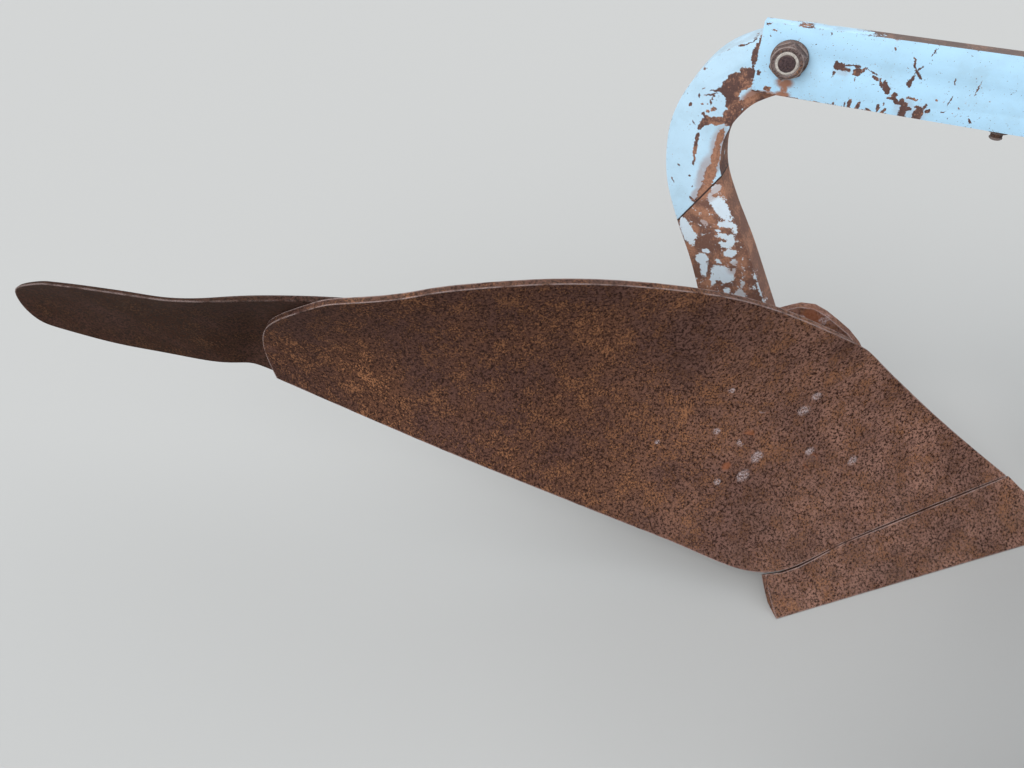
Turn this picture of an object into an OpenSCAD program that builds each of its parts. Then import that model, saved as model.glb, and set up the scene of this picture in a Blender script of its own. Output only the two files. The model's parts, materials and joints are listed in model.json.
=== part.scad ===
// Two-furrow mounted moldboard plough, right-hand.
// X forward, Y to the land side, Z up, millimetres. The ground is Z = 0.
// The rear body's leg bolt is at X = 0 and its landside runs along Y = 0.
// The front body is the same body moved forward and to the furrow side.

/* [Frame layout] */
// Distance forward from one body to the next
body_spacing = 780; // [700:10:1000]
// Width that each body cuts
furrow_width = 355; // [300:5:410]
// Height of the middle of a beam plate above the ground
bolt_height = 650; // [600:5:720]

/* [Beams] */
// Depth of a beam plate
beam_depth = 80; // [60:1:110]
// Thickness of a beam plate
beam_thick = 12; // [8:0.5:20]
// How far the beam plate reaches behind the leg bolt
beam_tail = 35; // [30:1:60]
// Clear distance from the front coulter clamp to the headstock tube
headstock_gap = 22; // [10:1:120]

/* [Legs] */
// Thickness of a leg
leg_thick = 35; // [20:1:50]
// Width of the leg's neck
leg_width = 72; // [60:1:90]
// How far the middle of the neck sweeps back behind the leg bolt
leg_sweep = 96; // [70:1:120]
// Height of the leg's foot above the ground
leg_foot_z = 118; // [100:1:160]
// Shank diameter of the leg bolt
leg_bolt_d = 24; // [16:0.5:30]
// Across flats of the leg bolt's nut
leg_nut_af = 36; // [30:0.5:50]
// Height of the leg bolt's nut
leg_nut_h = 12; // [8:0.5:24]
// Height of the leg bolt above the middle of the beam plate
bolt_rise = 4; // [0:0.5:8]
// Thickness of the washer under that nut
leg_washer_h = 4; // [2:0.5:6]
// Diameter of that washer
leg_washer_d = 42; // [38:0.5:60]
// Turn of that nut on its bolt
leg_nut_turn = 8; // [0:1:60]
// How far the leg bolt's end stands out of its nut
bolt_end = 3; // [1:0.5:8]
// Forward end of the leg's arm, ahead of its bolt
arm_reach = 430; // [340:5:480]
// Depth of the leg's arm
arm_depth = 66; // [50:1:70]
// Shank diameter of the shear bolt
shear_bolt_d = 12; // [8:0.5:20]
// Distance of the shear bolt behind the arm's front end
shear_bolt_setback = 45; // [25:5:80]
// Diameter of the pitch screw
pitch_screw_d = 14; // [10:0.5:20]
// Distance of the pitch screw ahead of the leg bolt
pitch_screw_x = 232; // [200:1:260]

/* [Soil-working plates] */
// Distance of the share's point ahead of the leg bolt
point_reach = 562; // [520:2:620]
// Width from the landside to the share's wing
share_width = 338; // [300:2:400]
// Height of the moldboard's top edge
board_height = 480; // [430:5:530]
// Thickness of the moldboard
board_thick = 8; // [5:0.5:12]
// Thickness of the share
share_thick = 11; // [8:0.5:16]
// Thickness of the tail piece
tail_thick = 8; // [5:0.5:12]
// Roundness of the moldboard's rear corners
board_corner = 0.045; // [0.02:0.005:0.08]

/* [Landside and frog] */
// Length of the landside
landside_length = 560; // [400:10:650]
// Front end of the landside, ahead of the leg bolt
landside_front = 400; // [340:5:420]
// Height of the landside
landside_height = 95; // [70:1:120]
// Thickness of the landside
landside_thick = 12; // [8:0.5:20]
// Thickness of the frog's plates
frog_thick = 12; // [8:0.5:16]
// Thickness of the seat that carries the moldboard
seat_thick = 10; // [6:0.5:16]
// Length of the block between the frog's plate and the landside
frog_block = 290; // [200:5:300]
// Diameter of the moldboard stay
stay_d = 22; // [14:0.5:32]

/* [Coulters] */
// Diameter of the disc
disc_d = 400; // [340:5:430]
// Thickness of the disc
disc_thick = 5; // [3:0.5:8]
// Diameter of the disc's hub
hub_d = 66; // [50:1:90]
// Length of the disc's hub
hub_length = 44; // [30:1:60]
// Axle diameter
axle_d = 20; // [14:0.5:26]
// Distance of the disc centre ahead of the share's point
disc_lead = 83; // [60:1:120]
// Height of the disc centre
disc_z = 232; // [210:1:260]
// Distance of the disc to the land side of the landside
disc_y = 15; // [8:1:25]
// Stalk diameter
stalk_d = 36; // [28:1:45]
// Distance of the stalk ahead of the disc centre
stalk_lead = 175; // [165:5:200]
// Length of the clamp along the beam
clamp_length = 76; // [60:1:100]
// Thickness of a fork arm
fork_thick = 12; // [8:0.5:16]
// Width of a fork arm
fork_width = 44; // [34:1:60]
// Height of the stalk's lower end
stalk_low = 465; // [460:1:490]
// Height of the stalk's upper end
stalk_high = 800; // [720:5:900]

// Wall of the coulter clamp round the beam and the stalk
clamp_wall = 14; // [10:1:20]

/* [Headstock] */
// Side of the headstock tube
tube_side = 90; // [70:1:110]
// Wall of the headstock tube
tube_wall = 8; // [5:0.5:12]
// Distance of the hitch centre from the rear landside, to the furrow side
hitch_centre = 150; // [60:5:200]
// Overall width between the lower-link pins' shoulders
link_spread = 825; // [680:1:900]
// Lower-link pin diameter
link_pin_d = 28; // [22:0.1:28.5]
// Length of a lower-link pin
link_pin_length = 80; // [60:1:120]
// Diameter of the cross shaft
shaft_d = 45; // [35:1:60]
// Height of the cross shaft's axis
shaft_z = 540; // [500:1:560]
// Throw of each crank
crank_throw = 60; // [40:1:90]
// Height of the top-link hole above the cross shaft
mast_height = 560; // [440:5:640]
// Top-link hole diameter
top_hole_d = 26; // [19:0.1:32]
// Gap between the mast plates
mast_gap = 54; // [44:1:70]
// Thickness of a mast plate
mast_thick = 12; // [8:0.5:20]
// Radius of a mast plate's head
mast_head_r = 40; // [30:1:60]
// Distance of the left mast stay's foot ahead of the rear leg bolt
left_stay_x = 960; // [930:5:1200]
// Distance of the right mast stay's foot ahead of the front leg bolt
right_stay_x = 200; // [120:5:400]
// Distance of the beam brace's rear end ahead of the rear leg bolt
brace_x = 640; // [560:5:700]
// Distance of the beam brace's front end ahead of the front leg bolt
brace_lap = 70; // [50:1:120]
// Width of the beam brace
brace_width = 60; // [40:1:80]
// Thickness of the beam brace
brace_thick = 10; // [6:0.5:16]
// Diameter of a mast stay
mast_stay_d = 34; // [25:1:45]
// Distance of the spacer tube ahead of the front leg's arm
spacer_lead = 90; // [60:5:200]
// Diameter of the spacer tube between the beams
spacer_d = 60; // [40:1:80]

/* [Fits] */
// Radial clearance of a turning fit
run_clear = 0.05; // [0.02:0.01:0.1]
// Radial clearance of a bolt in its hole
bolt_clear = 0.5; // [0.3:0.1:1]
// Side clearance between turning faces
side_clear = 1; // [0.5:0.1:3]

// Gap left between the moldboard and the tail piece in their lap
lap_gap = 0.9; // [0.5:0.05:1.2]
// Gap left between a curved plate and what it is bolted to
seat_gap = 0.3; // [0.1:0.05:0.5]

/* [Hidden] */
beam_face = -leg_thick - beam_thick;
shear_bolt_x = arm_reach - shear_bolt_setback;
beam_top = bolt_height + beam_depth / 2;
beam_low = bolt_height - beam_depth / 2;
arm_top = beam_top - 12;
arm_low = arm_top - arm_depth;
disc_x = point_reach + disc_lead;
stalk_x = disc_x + stalk_lead;
headstock_x = body_spacing + stalk_x + clamp_length / 2 + headstock_gap;
spacer_x = body_spacing + arm_reach + spacer_lead;
kx = point_reach / 562;
ky = share_width / 338;
kz = board_height / 480;
hitch_y = -hitch_centre;
tube_top = beam_top + 5;
tube_low = tube_top - tube_side;
shaft_x = headstock_x + tube_side / 2;
top_z = shaft_z + mast_height;
NU = 26;
NV = 8;

// Colours
blue = [0.62, 0.80, 0.90];
rust = [0.30, 0.18, 0.11];
steel = [0.42, 0.38, 0.35];

// The whole plough is centred over the middle of its own outline
module in_place() {
    translate([-mid_x, -mid_y, 0]) children();
}

// Move a body's pieces to the front body's place
module at_front() {
    in_place() translate([body_spacing, -furrow_width, 0]) children();
}

// Spline and surface functions
function pick(a, i) = a[max(0, min(len(a) - 1, i))];
function spline(a, t) =
    let (i = min(len(a) - 2, floor(t)), f = t - i,
         p0 = pick(a, i - 1), p1 = pick(a, i), p2 = pick(a, i + 1), p3 = pick(a, i + 2))
    0.5 * (2 * p1 + (p2 - p0) * f + (2 * p0 - 5 * p1 + 4 * p2 - p3) * f * f
           + (3 * p1 - p0 - 3 * p2 + p3) * f * f * f);
function unit(v) = v / norm(v);

// Moldboard guide stations from the shin back to the tail: lower point, upper
// point and how deep the face is dished between them
board_low = [
    [440, -5, 76], [344, -103, 64], [249, -202, 52], [153, -300, 40],
    [7, -325, 74], [-148, -370, 147], [-321, -405, 209], [-585, -434, 278]];
board_high = [
    [189, -82, 305], [156, -109, 336], [64, -175, 406], [-18, -235, 450],
    [-142, -312, 480], [-265, -378, 479], [-345, -416, 465], [-508, -477, 446]];
board_dish = [14, 34, 52, 62, 58, 44, 30, 18];

// Point of the face at station s, 0 at the shin and 7 at the rear end
function board_at(s, v) =
    let (a = spline(board_low, s), b = spline(board_high, s),
         da = spline(board_low, s + 0.02) - spline(board_low, s - 0.02),
         db = spline(board_high, s + 0.02) - spline(board_high, s - 0.02),
         n = unit(cross(da + db, b - a)),
         d = spline(board_dish, s),
         p = a + (b - a) * v - n * (4 * d * v * (1 - v)) * (n[1] < 0 ? 1 : -1))
    [p[0] * kx, p[1] * ky, p[2] * kz];
// The same with the rear corners rounded off, for u from 0 to 1
function board_point(u, v) =
    board_at((len(board_low) - 1)
             * (u - board_corner * pow(u, 8) * (0.2 + 0.45 * pow(2 * v - 1, 2) + 1.3 * pow(v, 3))), v);

// Unit normal of the moldboard's face, toward the soil
function board_normal(u, v) =
    let (e = 0.004,
         pu = board_point(min(1, u + e), v) - board_point(max(0, u - e), v),
         pv = board_point(u, min(1, v + e)) - board_point(u, max(0, v - e)),
         n = unit(cross(pu, pv)))
    n[1] < 0 ? n : -n;
function board_back(u, v, depth) = board_point(u, v) - board_normal(u, v) * depth;
// Point behind the face at station s, corners not rounded
function lap_back(s, v, depth) =
    let (e = 0.02,
         n = unit(cross(board_at(s + e, v) - board_at(s - e, v), board_at(s, v + e) - board_at(s, v - e))))
    board_at(s, v) - (n[1] < 0 ? n : -n) * depth;

// Closed plate between two grids of points, each a list of rows
module slab(front, back) {
    r = len(front);
    c = len(front[0]);
    pts = concat([for (row = front) each row], [for (row = back) each row]);
    n = r * c;
    i0 = floor((r - 2) / 2);
    j0 = floor((c - 2) / 2);
    inward = cross(front[i0][j0 + 1] - front[i0][j0], front[i0 + 1][j0] - front[i0][j0])
             * (back[i0][j0] - front[i0][j0]) > 0;
    shell = concat(
        [for (i = [0:r - 2], j = [0:c - 2]) each
            [[i * c + j, i * c + j + 1, (i + 1) * c + j + 1],
             [i * c + j, (i + 1) * c + j + 1, (i + 1) * c + j]]],
        [for (i = [0:r - 2], j = [0:c - 2]) each
            [[n + i * c + j, n + (i + 1) * c + j + 1, n + i * c + j + 1],
             [n + i * c + j, n + (i + 1) * c + j, n + (i + 1) * c + j + 1]]],
        [for (j = [0:c - 2]) each
            [[j, n + j, n + j + 1], [j, n + j + 1, j + 1],
             [(r - 1) * c + j, (r - 1) * c + j + 1, n + (r - 1) * c + j + 1],
             [(r - 1) * c + j, n + (r - 1) * c + j + 1, n + (r - 1) * c + j]]],
        [for (i = [0:r - 2]) each
            [[i * c, (i + 1) * c, n + (i + 1) * c], [i * c, n + (i + 1) * c, n + i * c],
             [i * c + c - 1, n + i * c + c - 1, n + (i + 1) * c + c - 1],
             [i * c + c - 1, n + (i + 1) * c + c - 1, (i + 1) * c + c - 1]]]);
    polyhedron(points = pts, faces = inward ? shell : [for (f = shell) [f[2], f[1], f[0]]], convexity = 6);
}

module y_cyl(d, y0, y1, fn = 48) {
    translate([0, y1, 0]) rotate([90, 0, 0]) cylinder(d = d, h = y1 - y0, $fn = fn);
}

// Round bar between two points
module bar(p, q, d) {
    v = q - p;
    translate(p) rotate([0, acos(v[2] / norm(v)), atan2(v[1], v[0])])
        cylinder(d = d, h = norm(v), $fn = 32);
}

module moldboard() {
    color(rust)
        slab([for (i = [0:NU]) [for (j = [0:NV]) board_point(i / NU, j / NV)]],
             [for (i = [0:NU]) [for (j = [0:NV]) board_back(i / NU, j / NV, board_thick)]]);
}

// Share: from the cutting edge up to the joint with the moldboard
share_rake = 0.15;
function share_point(u, v) =
    let (nose = [point_reach, -2, 0], wing = [188 * kx, -share_width, 0],
         lo = nose + (wing - nose) * u,
         top = spline(board_low, 3 * u),
         hi = [top[0] * kx + 2, top[1] * ky - 1, top[2] * kz])
    lo + (hi - lo) * v - [0, 0, 20 * v * (1 - v)];
function share_back(u, v) =
    let (p = share_point(u, v), t = share_thick * (share_rake + (1 - share_rake) * min(1, 3 * v)))
    [p[0] - 0.45 * t, p[1] + 0.45 * t, max(0, p[2] - 0.8 * t)];

module share() {
    color(steel)
        slab([for (i = [0:16]) [for (j = [0:5]) share_point(i / 16, j / 5) + [0, 0, 1.5]]],
             [for (i = [0:16]) [for (j = [0:5]) share_back(i / 16, j / 5)]]);
}

// Tail piece: starts against the moldboard's back and runs on behind it
tail_dish = 11;
tail_low = [[-628, -452, 286], [-710, -472, 291], [-790, -497, 304], [-898, -538, 347]];
tail_high = [[-590, -500, 447], [-664, -518, 448], [-740, -533, 446], [-856, -553, 436]];
function tail_rows(depth) =
    let (n = 8,
         lap = [for (i = [0:5]) let (r = pow(1 - i / 5, 2)) [for (j = [0:n])
                lap_back(6.1 + 0.18 * i, 0.12 * r + (0.98 - 0.2 * r) * j / n, depth + lap_gap)]],
         lo = concat([lap[4][0], lap[5][0]], [for (p = tail_low) [p[0] * kx, p[1] * ky, p[2] * kz]]),
         hi = concat([lap[4][n], lap[5][n]], [for (p = tail_high) [p[0] * kx, p[1] * ky, p[2] * kz]]))
    concat(lap, [for (i = [1:12]) let (s = 1 + i / 3, w = min(1, i / 3))
        [for (j = [0:n]) let (v = j / n, e = pow(i / 12, 6) * (0.65 * pow(v, 4) + 0.35 * pow(1 - v, 4)),
                              d = tail_dish + (board_dish[7] - tail_dish) * (1 - w),
                              a = spline(lo, s - e), b = spline(hi, s - e))
            a + (b - a) * v + [0, 1, 0] * (w * (depth - board_thick) + 4 * d * v * (1 - v))]]);
tail_back = [for (row = concat(tail_rows(board_thick), tail_rows(board_thick + tail_thick))) each row];
mid_x = (min([for (p = tail_back) p[0]]) + headstock_x + tube_side) / 2;
mid_y = (min([for (p = tail_back) p[1]]) - furrow_width + hitch_y + link_spread / 2 + link_pin_length) / 2;

module tail_piece() {
    color(rust) slab(tail_rows(board_thick), tail_rows(board_thick + tail_thick));
}

// Outline of a bar that follows a smooth line: stations of x, z and width
function ribbon(st, n) =
    let (c = [for (p = st) [p[0], p[1]]], w = [for (p = st) p[2]],
         q = [for (i = [0:n]) let (t = (len(st) - 1) * i / n,
                 d = unit(spline(c, min(len(st) - 1, t + 0.02)) - spline(c, max(0, t - 0.02))))
              [spline(c, t), [-d[1], d[0]] * spline(w, t) / 2]])
    concat([for (e = q) e[0] + e[1]], [for (i = [n:-1:0]) q[i][0] - q[i][1]]);

// Neck of the leg, from its bolt back, down and forward to the foot, as
// shares of its sweep, its drop and its width
neck = [
    [0.30, -0.010, 0.92], [-0.06, -0.014, 0.94], [-0.54, -0.058, 1], [-0.81, -0.117, 1],
    [-0.96, -0.180, 1], [-1.00, -0.246, 1], [-0.93, -0.333, 1.04], [-0.71, -0.430, 1.10],
    [-0.40, -0.541, 1.18], [-0.12, -0.658, 1.28], [0.25, -0.82, 1.45], [0.60, -1, 1.65]];

module leg_outline() {
    drop = bolt_height - leg_foot_z;
    translate([0, bolt_height])
        polygon(ribbon([for (p = neck) [p[0] * leg_sweep, p[1] * drop, p[2] * leg_width]], 66));
    polygon([[0, arm_low], [0, arm_top - 2], [40, arm_top], [arm_reach - 12, arm_top],
             [arm_reach, arm_top - 12], [arm_reach, arm_low + 12], [arm_reach - 12, arm_low]]);
}

module leg() {
    color(blue) difference() {
        rotate([90, 0, 0]) linear_extrude(leg_thick) leg_outline();
        translate([0, 0, bolt_height + bolt_rise]) y_cyl(leg_bolt_d + 2 * bolt_clear, -leg_thick - 1, 1);
        translate([shear_bolt_x, 0, (arm_top + arm_low) / 2])
            y_cyl(shear_bolt_d + 2 * bolt_clear, -leg_thick - 1, 1);
        translate([pitch_screw_x, -leg_thick / 2, arm_low - 1])
            cylinder(d = pitch_screw_d + 2 * bolt_clear, h = arm_depth + 2, $fn = 40);
    }
}

module leg_bolt() {
    nut_face = beam_face - leg_washer_h;
    color(rust) translate([0, 0, bolt_height + bolt_rise]) {
        y_cyl(leg_bolt_d, nut_face - leg_nut_h, 0);
        translate([0, nut_face - leg_nut_h, 0]) rotate([90, 0, 0])
            cylinder(d1 = leg_bolt_d, d2 = leg_bolt_d - 6, h = bolt_end, $fn = 48);
        y_cyl(leg_nut_af / cos(30), 0, 16, 6);
        y_cyl(leg_washer_d, nut_face, beam_face);
        rotate([0, leg_nut_turn, 0]) y_cyl(leg_nut_af / cos(30), nut_face - leg_nut_h, nut_face, 6);
    }
}

module shear_bolt() {
    color(rust) {
        translate([shear_bolt_x, 0, (arm_top + arm_low) / 2]) {
            y_cyl(shear_bolt_d, beam_face - 14, 0);
            y_cyl(19 / cos(30), 0, 8, 6);
            y_cyl(19 / cos(30), beam_face - 10, beam_face, 6);
        }
    }
}

module pitch_screw() {
    color(rust) translate([pitch_screw_x, -leg_thick / 2, 0]) {
        translate([0, 0, arm_low - 22]) cylinder(d = pitch_screw_d, h = arm_depth + 30, $fn = 40);
        translate([0, 0, arm_low - 13]) cylinder(d = 22 / cos(30), h = 13, $fn = 6);
    }
}

module frog_outline() {
    polygon([for (p = [[-30, 20], [-42, 120], [-42, 215], [-12, 262], [40, 285], [75, 311], [87, 319],
                       [106, 322], [123, 316], [140, 306], [159, 294], [176, 278], [200, 245],
                       [232, 205], [262, 165], [300, 120], [325, 84], [330, 20]])
             [p[0] * kx, p[1] * kz]]);
}

module frog() {
    color(rust) {
        // plate beside the leg
        translate([0, -leg_thick, 0]) rotate([90, 0, 0]) linear_extrude(frog_thick) frog_outline();
        // spacer to the landside
        translate([20 * kx, -leg_thick - 1, 25])
            cube([frog_block * kx, leg_thick - landside_thick + 1, landside_height - 35]);
        // seat behind the moldboard
        slab([for (i = [2:12]) [for (j = [0:5]) board_back(i / NU, j / NV, board_thick + seat_gap)]],
             [for (i = [2:12]) [for (j = [0:5])
                board_back(i / NU, j / NV, board_thick + seat_gap + seat_thick)]]);
        // webs from the plate to the seat
        for (v = [0.14, 0.5]) slab(web_rows(v, 0), web_rows(v, -frog_thick));
    }
}

function web_rows(v, dz) =
    [for (i = [0:6]) let (p = board_back(0.10 + 0.34 * i / 6, v, board_thick + 3) + [0, 0, dz])
        [p, [(285 - 220 * (v - 0.14) - (45 - 25 * (v - 0.14)) * i) * kx,
             -leg_thick - frog_thick / 2, p[2]]]];

module landside() {
    front = landside_front * kx;
    rear = front - landside_length;
    color(steel)
        rotate([90, 0, 0]) linear_extrude(landside_thick)
            polygon([[front, 0], [rear + 8, 0], [rear, 8], [rear, landside_height - 12],
                     [rear + 12, landside_height], [front - 28, landside_height], [front, landside_height * 0.65]]);
}

// Stay from the frog plate out to the moldboard's back near its end
module stay() {
    a = [15 * kx, -leg_thick - frog_thick, 152 * kz];
    b = board_back(21 / NU, 3.4 / NV, board_thick + seat_gap + 11);
    color(rust) {
        bar(a + [0, -12, 0], b, stay_d);
        translate([a[0] - 35, a[1] - 14, a[2] - 22]) cube([70, 14, 44]);
        slab([for (i = [20:22]) [for (j = [2:5]) board_back(i / NU, j / NV, board_thick + seat_gap)]],
             [for (i = [20:22]) [for (j = [2:5]) board_back(i / NU, j / NV, board_thick + seat_gap + 14)]]);
    }
}

module coulter_clamp() {
    y0 = beam_face - clamp_wall;
    z0 = beam_low - clamp_wall;
    h = beam_depth + 2 * clamp_wall;
    color(blue) difference() {
        union() {
            translate([stalk_x - clamp_length / 2, y0, z0])
                cube([clamp_length, beam_thick + 2 * clamp_wall, h]);
            translate([stalk_x - stalk_d / 2 - clamp_wall, beam_face, z0])
                cube([stalk_d + 2 * clamp_wall, disc_y - beam_face, h]);
            translate([stalk_x, disc_y, z0]) cylinder(d = stalk_d + 2 * clamp_wall, h = h, $fn = 64);
        }
        translate([stalk_x - clamp_length, beam_face, beam_low]) cube([2 * clamp_length, beam_thick, beam_depth]);
        translate([stalk_x, disc_y, z0 - 1]) cylinder(d = stalk_d, h = h + 2, $fn = 64);
    }
}

module coulter_stalk() {
    color(rust) translate([stalk_x, disc_y, 0]) {
        translate([0, 0, stalk_low]) cylinder(d = stalk_d, h = stalk_high - stalk_low, $fn = 64);
        translate([0, 0, stalk_low - 92]) cylinder(d = stalk_d - 8, h = 92, $fn = 64);
        translate([0, 0, stalk_low - 92]) cylinder(d = stalk_d + 8, h = 10, $fn = 64);
    }
}

module coulter_fork() {
    arm_in = hub_length / 2 + side_clear;
    top = stalk_low - side_clear;
    block = 80;
    color(blue) difference() {
        union() {
            translate([stalk_x, disc_y, top - block]) cylinder(d = stalk_d + 26, h = block, $fn = 64);
            for (y = [disc_y - arm_in, disc_y + arm_in + fork_thick])
                translate([0, y, 0]) rotate([90, 0, 0]) linear_extrude(fork_thick) union() {
                    polygon(ribbon([
                        [stalk_x + 8, top - block / 2, block - 16],
                        [stalk_x - 45, top - block / 2, block - 18],
                        [stalk_x - 100, top - block / 2 - 2, fork_width + 8],
                        [disc_x + 22, top - block / 2 - 18, fork_width],
                        [disc_x + 1, top - block / 2 - 62, fork_width - 2],
                        [disc_x, disc_z + 40, fork_width - 2],
                        [disc_x, disc_z, fork_width - 2]], 40));
                    translate([disc_x, disc_z]) circle(d = fork_width + 10, $fn = 48);
                }
            translate([stalk_x - 30, disc_y - arm_in - 0.5, top - block + 6]) cube([30, 2 * arm_in + 1, block - 16]);
        }
        translate([stalk_x, disc_y, top - block - 5])
            cylinder(d = stalk_d - 8 + 2 * run_clear, h = block + 10, $fn = 64);
    }
    color(rust) translate([disc_x, disc_y, disc_z]) {
        y_cyl(axle_d, -arm_in - fork_thick - 8, arm_in + fork_thick + 8);
        for (y = [-arm_in - fork_thick - 10, arm_in + fork_thick])
            translate([0, y, 0]) y_cyl(30 / cos(30), 0, 10, 6);
    }
}

module coulter_disc() {
    color(steel) translate([disc_x, disc_y, disc_z]) difference() {
        union() {
            rotate([90, 0, 0]) rotate_extrude($fn = 96)
                polygon([[0, -disc_thick / 2], [disc_d / 2 - 14, -disc_thick / 2], [disc_d / 2, 0],
                         [disc_d / 2 - 14, disc_thick / 2], [0, disc_thick / 2]]);
            y_cyl(hub_d, -hub_length / 2, hub_length / 2, 64);
            y_cyl(hub_d + 50, -disc_thick / 2 - 5, disc_thick / 2 + 5, 64);
        }
        y_cyl(axle_d + 2 * run_clear, -hub_length, hub_length, 64);
    }
}

module beam(x0, x1) {
    color(blue) difference() {
        translate([x0, beam_face, beam_low]) cube([x1 - x0, beam_thick, beam_depth]);
        translate([0, 0, bolt_height + bolt_rise])
            y_cyl(leg_bolt_d + 2 * bolt_clear, beam_face - 1, beam_face + beam_thick + 1);
        translate([shear_bolt_x, 0, (arm_top + arm_low) / 2])
            y_cyl(shear_bolt_d + 2 * bolt_clear, beam_face - 1, beam_face + beam_thick + 1);
    }
}

module beam_spacer_shape() {
    y0 = beam_face - furrow_width + beam_thick;
    color(blue) translate([spacer_x, 0, bolt_height]) {
        difference() {
            y_cyl(spacer_d, y0, beam_face);
            y_cyl(spacer_d - 12, y0 - 1, beam_face + 1);
        }
        for (y = [y0, beam_face - 8]) difference() {
            y_cyl(spacer_d + 16, y, y + 8);
            y_cyl(spacer_d - 12, y - 1, y + 9);
        }
    }
}

module beam_brace_shape() {
    y_mid = beam_face + beam_thick / 2;
    a = [brace_x, y_mid, beam_top];
    b = [body_spacing + brace_lap, y_mid - furrow_width, beam_top];
    v = b - a;
    color(blue) translate(a) rotate([0, 0, atan2(v[1], v[0])]) difference() {
        translate([-brace_width / 2, -brace_width / 2, 0]) cube([norm(v) + brace_width, brace_width, brace_thick]);
    }
}

module headstock_tube_shape() {
    y0 = beam_face - furrow_width - 30;
    y1 = 70;
    color(blue) difference() {
        translate([headstock_x, y0, tube_low]) cube([tube_side, y1 - y0, tube_side]);
        translate([headstock_x + tube_wall, y0 - 1, tube_low + tube_wall])
            cube([tube_side - 2 * tube_wall, y1 - y0 + 2, tube_side - 2 * tube_wall]);
    }
}

module mast_plate(side) {
    y = hitch_y + side * mast_gap / 2 + (side < 0 ? 0 : mast_thick);
    color(blue) translate([0, y, 0]) rotate([90, 0, 0]) linear_extrude(mast_thick) difference() {
        union() {
            polygon([[headstock_x, tube_top], [headstock_x + tube_side, tube_top],
                     [shaft_x + mast_head_r, top_z], [shaft_x - mast_head_r, top_z]]);
            translate([shaft_x, top_z]) circle(r = mast_head_r, $fn = 64);
        }
        translate([shaft_x, top_z]) circle(d = top_hole_d, $fn = 64);
    }
}

module mast_stay(side) {
    y_top = hitch_y + side * (mast_gap / 2 + mast_thick);
    foot = 12;
    a = [shaft_x - 10, y_top + side * (mast_stay_d / 2 + 1), top_z - 60];
    y_beam = side > 0 ? beam_face + beam_thick / 2 : beam_face + beam_thick / 2 - furrow_width;
    x_beam = side > 0 ? left_stay_x : body_spacing + right_stay_x;
    b = [x_beam, y_beam, beam_top + 22];
    color(blue) {
        bar(a, b, mast_stay_d);
        translate([a[0] - 26, min(y_top, y_top + side * foot), a[2] - 30]) cube([52, foot, 60]);
        translate([b[0] - 45, y_beam - 25, beam_top]) cube([90, 50, foot]);
        translate([b[0] - 22, y_beam - 8, beam_top]) cube([44, 16, 34]);
    }
}

module shaft_clamp(y) {
    wall = 15;
    color(blue) difference() {
        union() {
            translate([shaft_x - shaft_d / 2 - wall, y - 22, shaft_z])
                cube([shaft_d + 2 * wall, 44, tube_low - shaft_z]);
            translate([shaft_x, 0, shaft_z]) y_cyl(shaft_d + 2 * wall, y - 22, y + 22, 64);
        }
        translate([shaft_x, 0, shaft_z]) y_cyl(shaft_d + 2 * run_clear, y - 23, y + 23, 64);
    }
}

module cross_shaft_shape() {
    half = link_spread / 2;
    color(rust) {
        translate([shaft_x, 0, shaft_z]) {
            y_cyl(shaft_d, hitch_y - half + 14, hitch_y + half - 14, 64);
            for (s = [-1, 1]) translate([0, 0, s * crank_throw]) {
                y_cyl(link_pin_d, hitch_y + (s > 0 ? half : -half - link_pin_length),
                      hitch_y + (s > 0 ? half + link_pin_length : -half), 64);
            }
            for (s = [-1, 1]) difference() {
                union() {
                    y_cyl(shaft_d + 24, hitch_y + s * half - (s > 0 ? 28 : 0),
                          hitch_y + s * half + (s > 0 ? 0 : 28), 64);
                    translate([0, 0, s * crank_throw])
                        y_cyl(link_pin_d + 26, hitch_y + s * half - (s > 0 ? 28 : 0),
                              hitch_y + s * half + (s > 0 ? 0 : 28), 64);
                    translate([-22, hitch_y + s * half - (s > 0 ? 28 : 0), s > 0 ? 0 : -crank_throw])
                        cube([44, 28, crank_throw]);
                }
            }
        }
    }
}

module rear_beam() { in_place() beam(-beam_tail, headstock_x); }
module front_beam() { at_front() beam(-beam_tail, headstock_x - body_spacing); }
module rear_leg() { in_place() leg(); }
module front_leg() { at_front() leg(); }
module rear_leg_bolt() { in_place() leg_bolt(); }
module front_leg_bolt() { at_front() leg_bolt(); }
module rear_shear_bolt() { in_place() shear_bolt(); }
module front_shear_bolt() { at_front() shear_bolt(); }
module rear_pitch_screw() { in_place() pitch_screw(); }
module front_pitch_screw() { at_front() pitch_screw(); }
module rear_frog() { in_place() frog(); }
module front_frog() { at_front() frog(); }
module rear_landside() { in_place() landside(); }
module front_landside() { at_front() landside(); }
module rear_share() { in_place() share(); }
module front_share() { at_front() share(); }
module rear_moldboard() { in_place() moldboard(); }
module front_moldboard() { at_front() moldboard(); }
module rear_tail_piece() { in_place() tail_piece(); }
module front_tail_piece() { at_front() tail_piece(); }
module rear_stay() { in_place() stay(); }
module front_stay() { at_front() stay(); }
module rear_coulter_clamp() { in_place() coulter_clamp(); }
module front_coulter_clamp() { at_front() coulter_clamp(); }
module rear_coulter_stalk() { in_place() coulter_stalk(); }
module front_coulter_stalk() { at_front() coulter_stalk(); }
module rear_coulter_fork() { in_place() coulter_fork(); }
module front_coulter_fork() { at_front() coulter_fork(); }
module rear_coulter_disc() { in_place() coulter_disc(); }
module front_coulter_disc() { at_front() coulter_disc(); }
module beam_spacer() { in_place() beam_spacer_shape(); }
module beam_brace() { in_place() beam_brace_shape(); }
module headstock_tube() { in_place() headstock_tube_shape(); }
module cross_shaft() { in_place() cross_shaft_shape(); }
module left_mast_plate() { in_place() mast_plate(1); }
module right_mast_plate() { in_place() mast_plate(-1); }
module left_mast_stay() { in_place() mast_stay(1); }
module right_mast_stay() { in_place() mast_stay(-1); }
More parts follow.
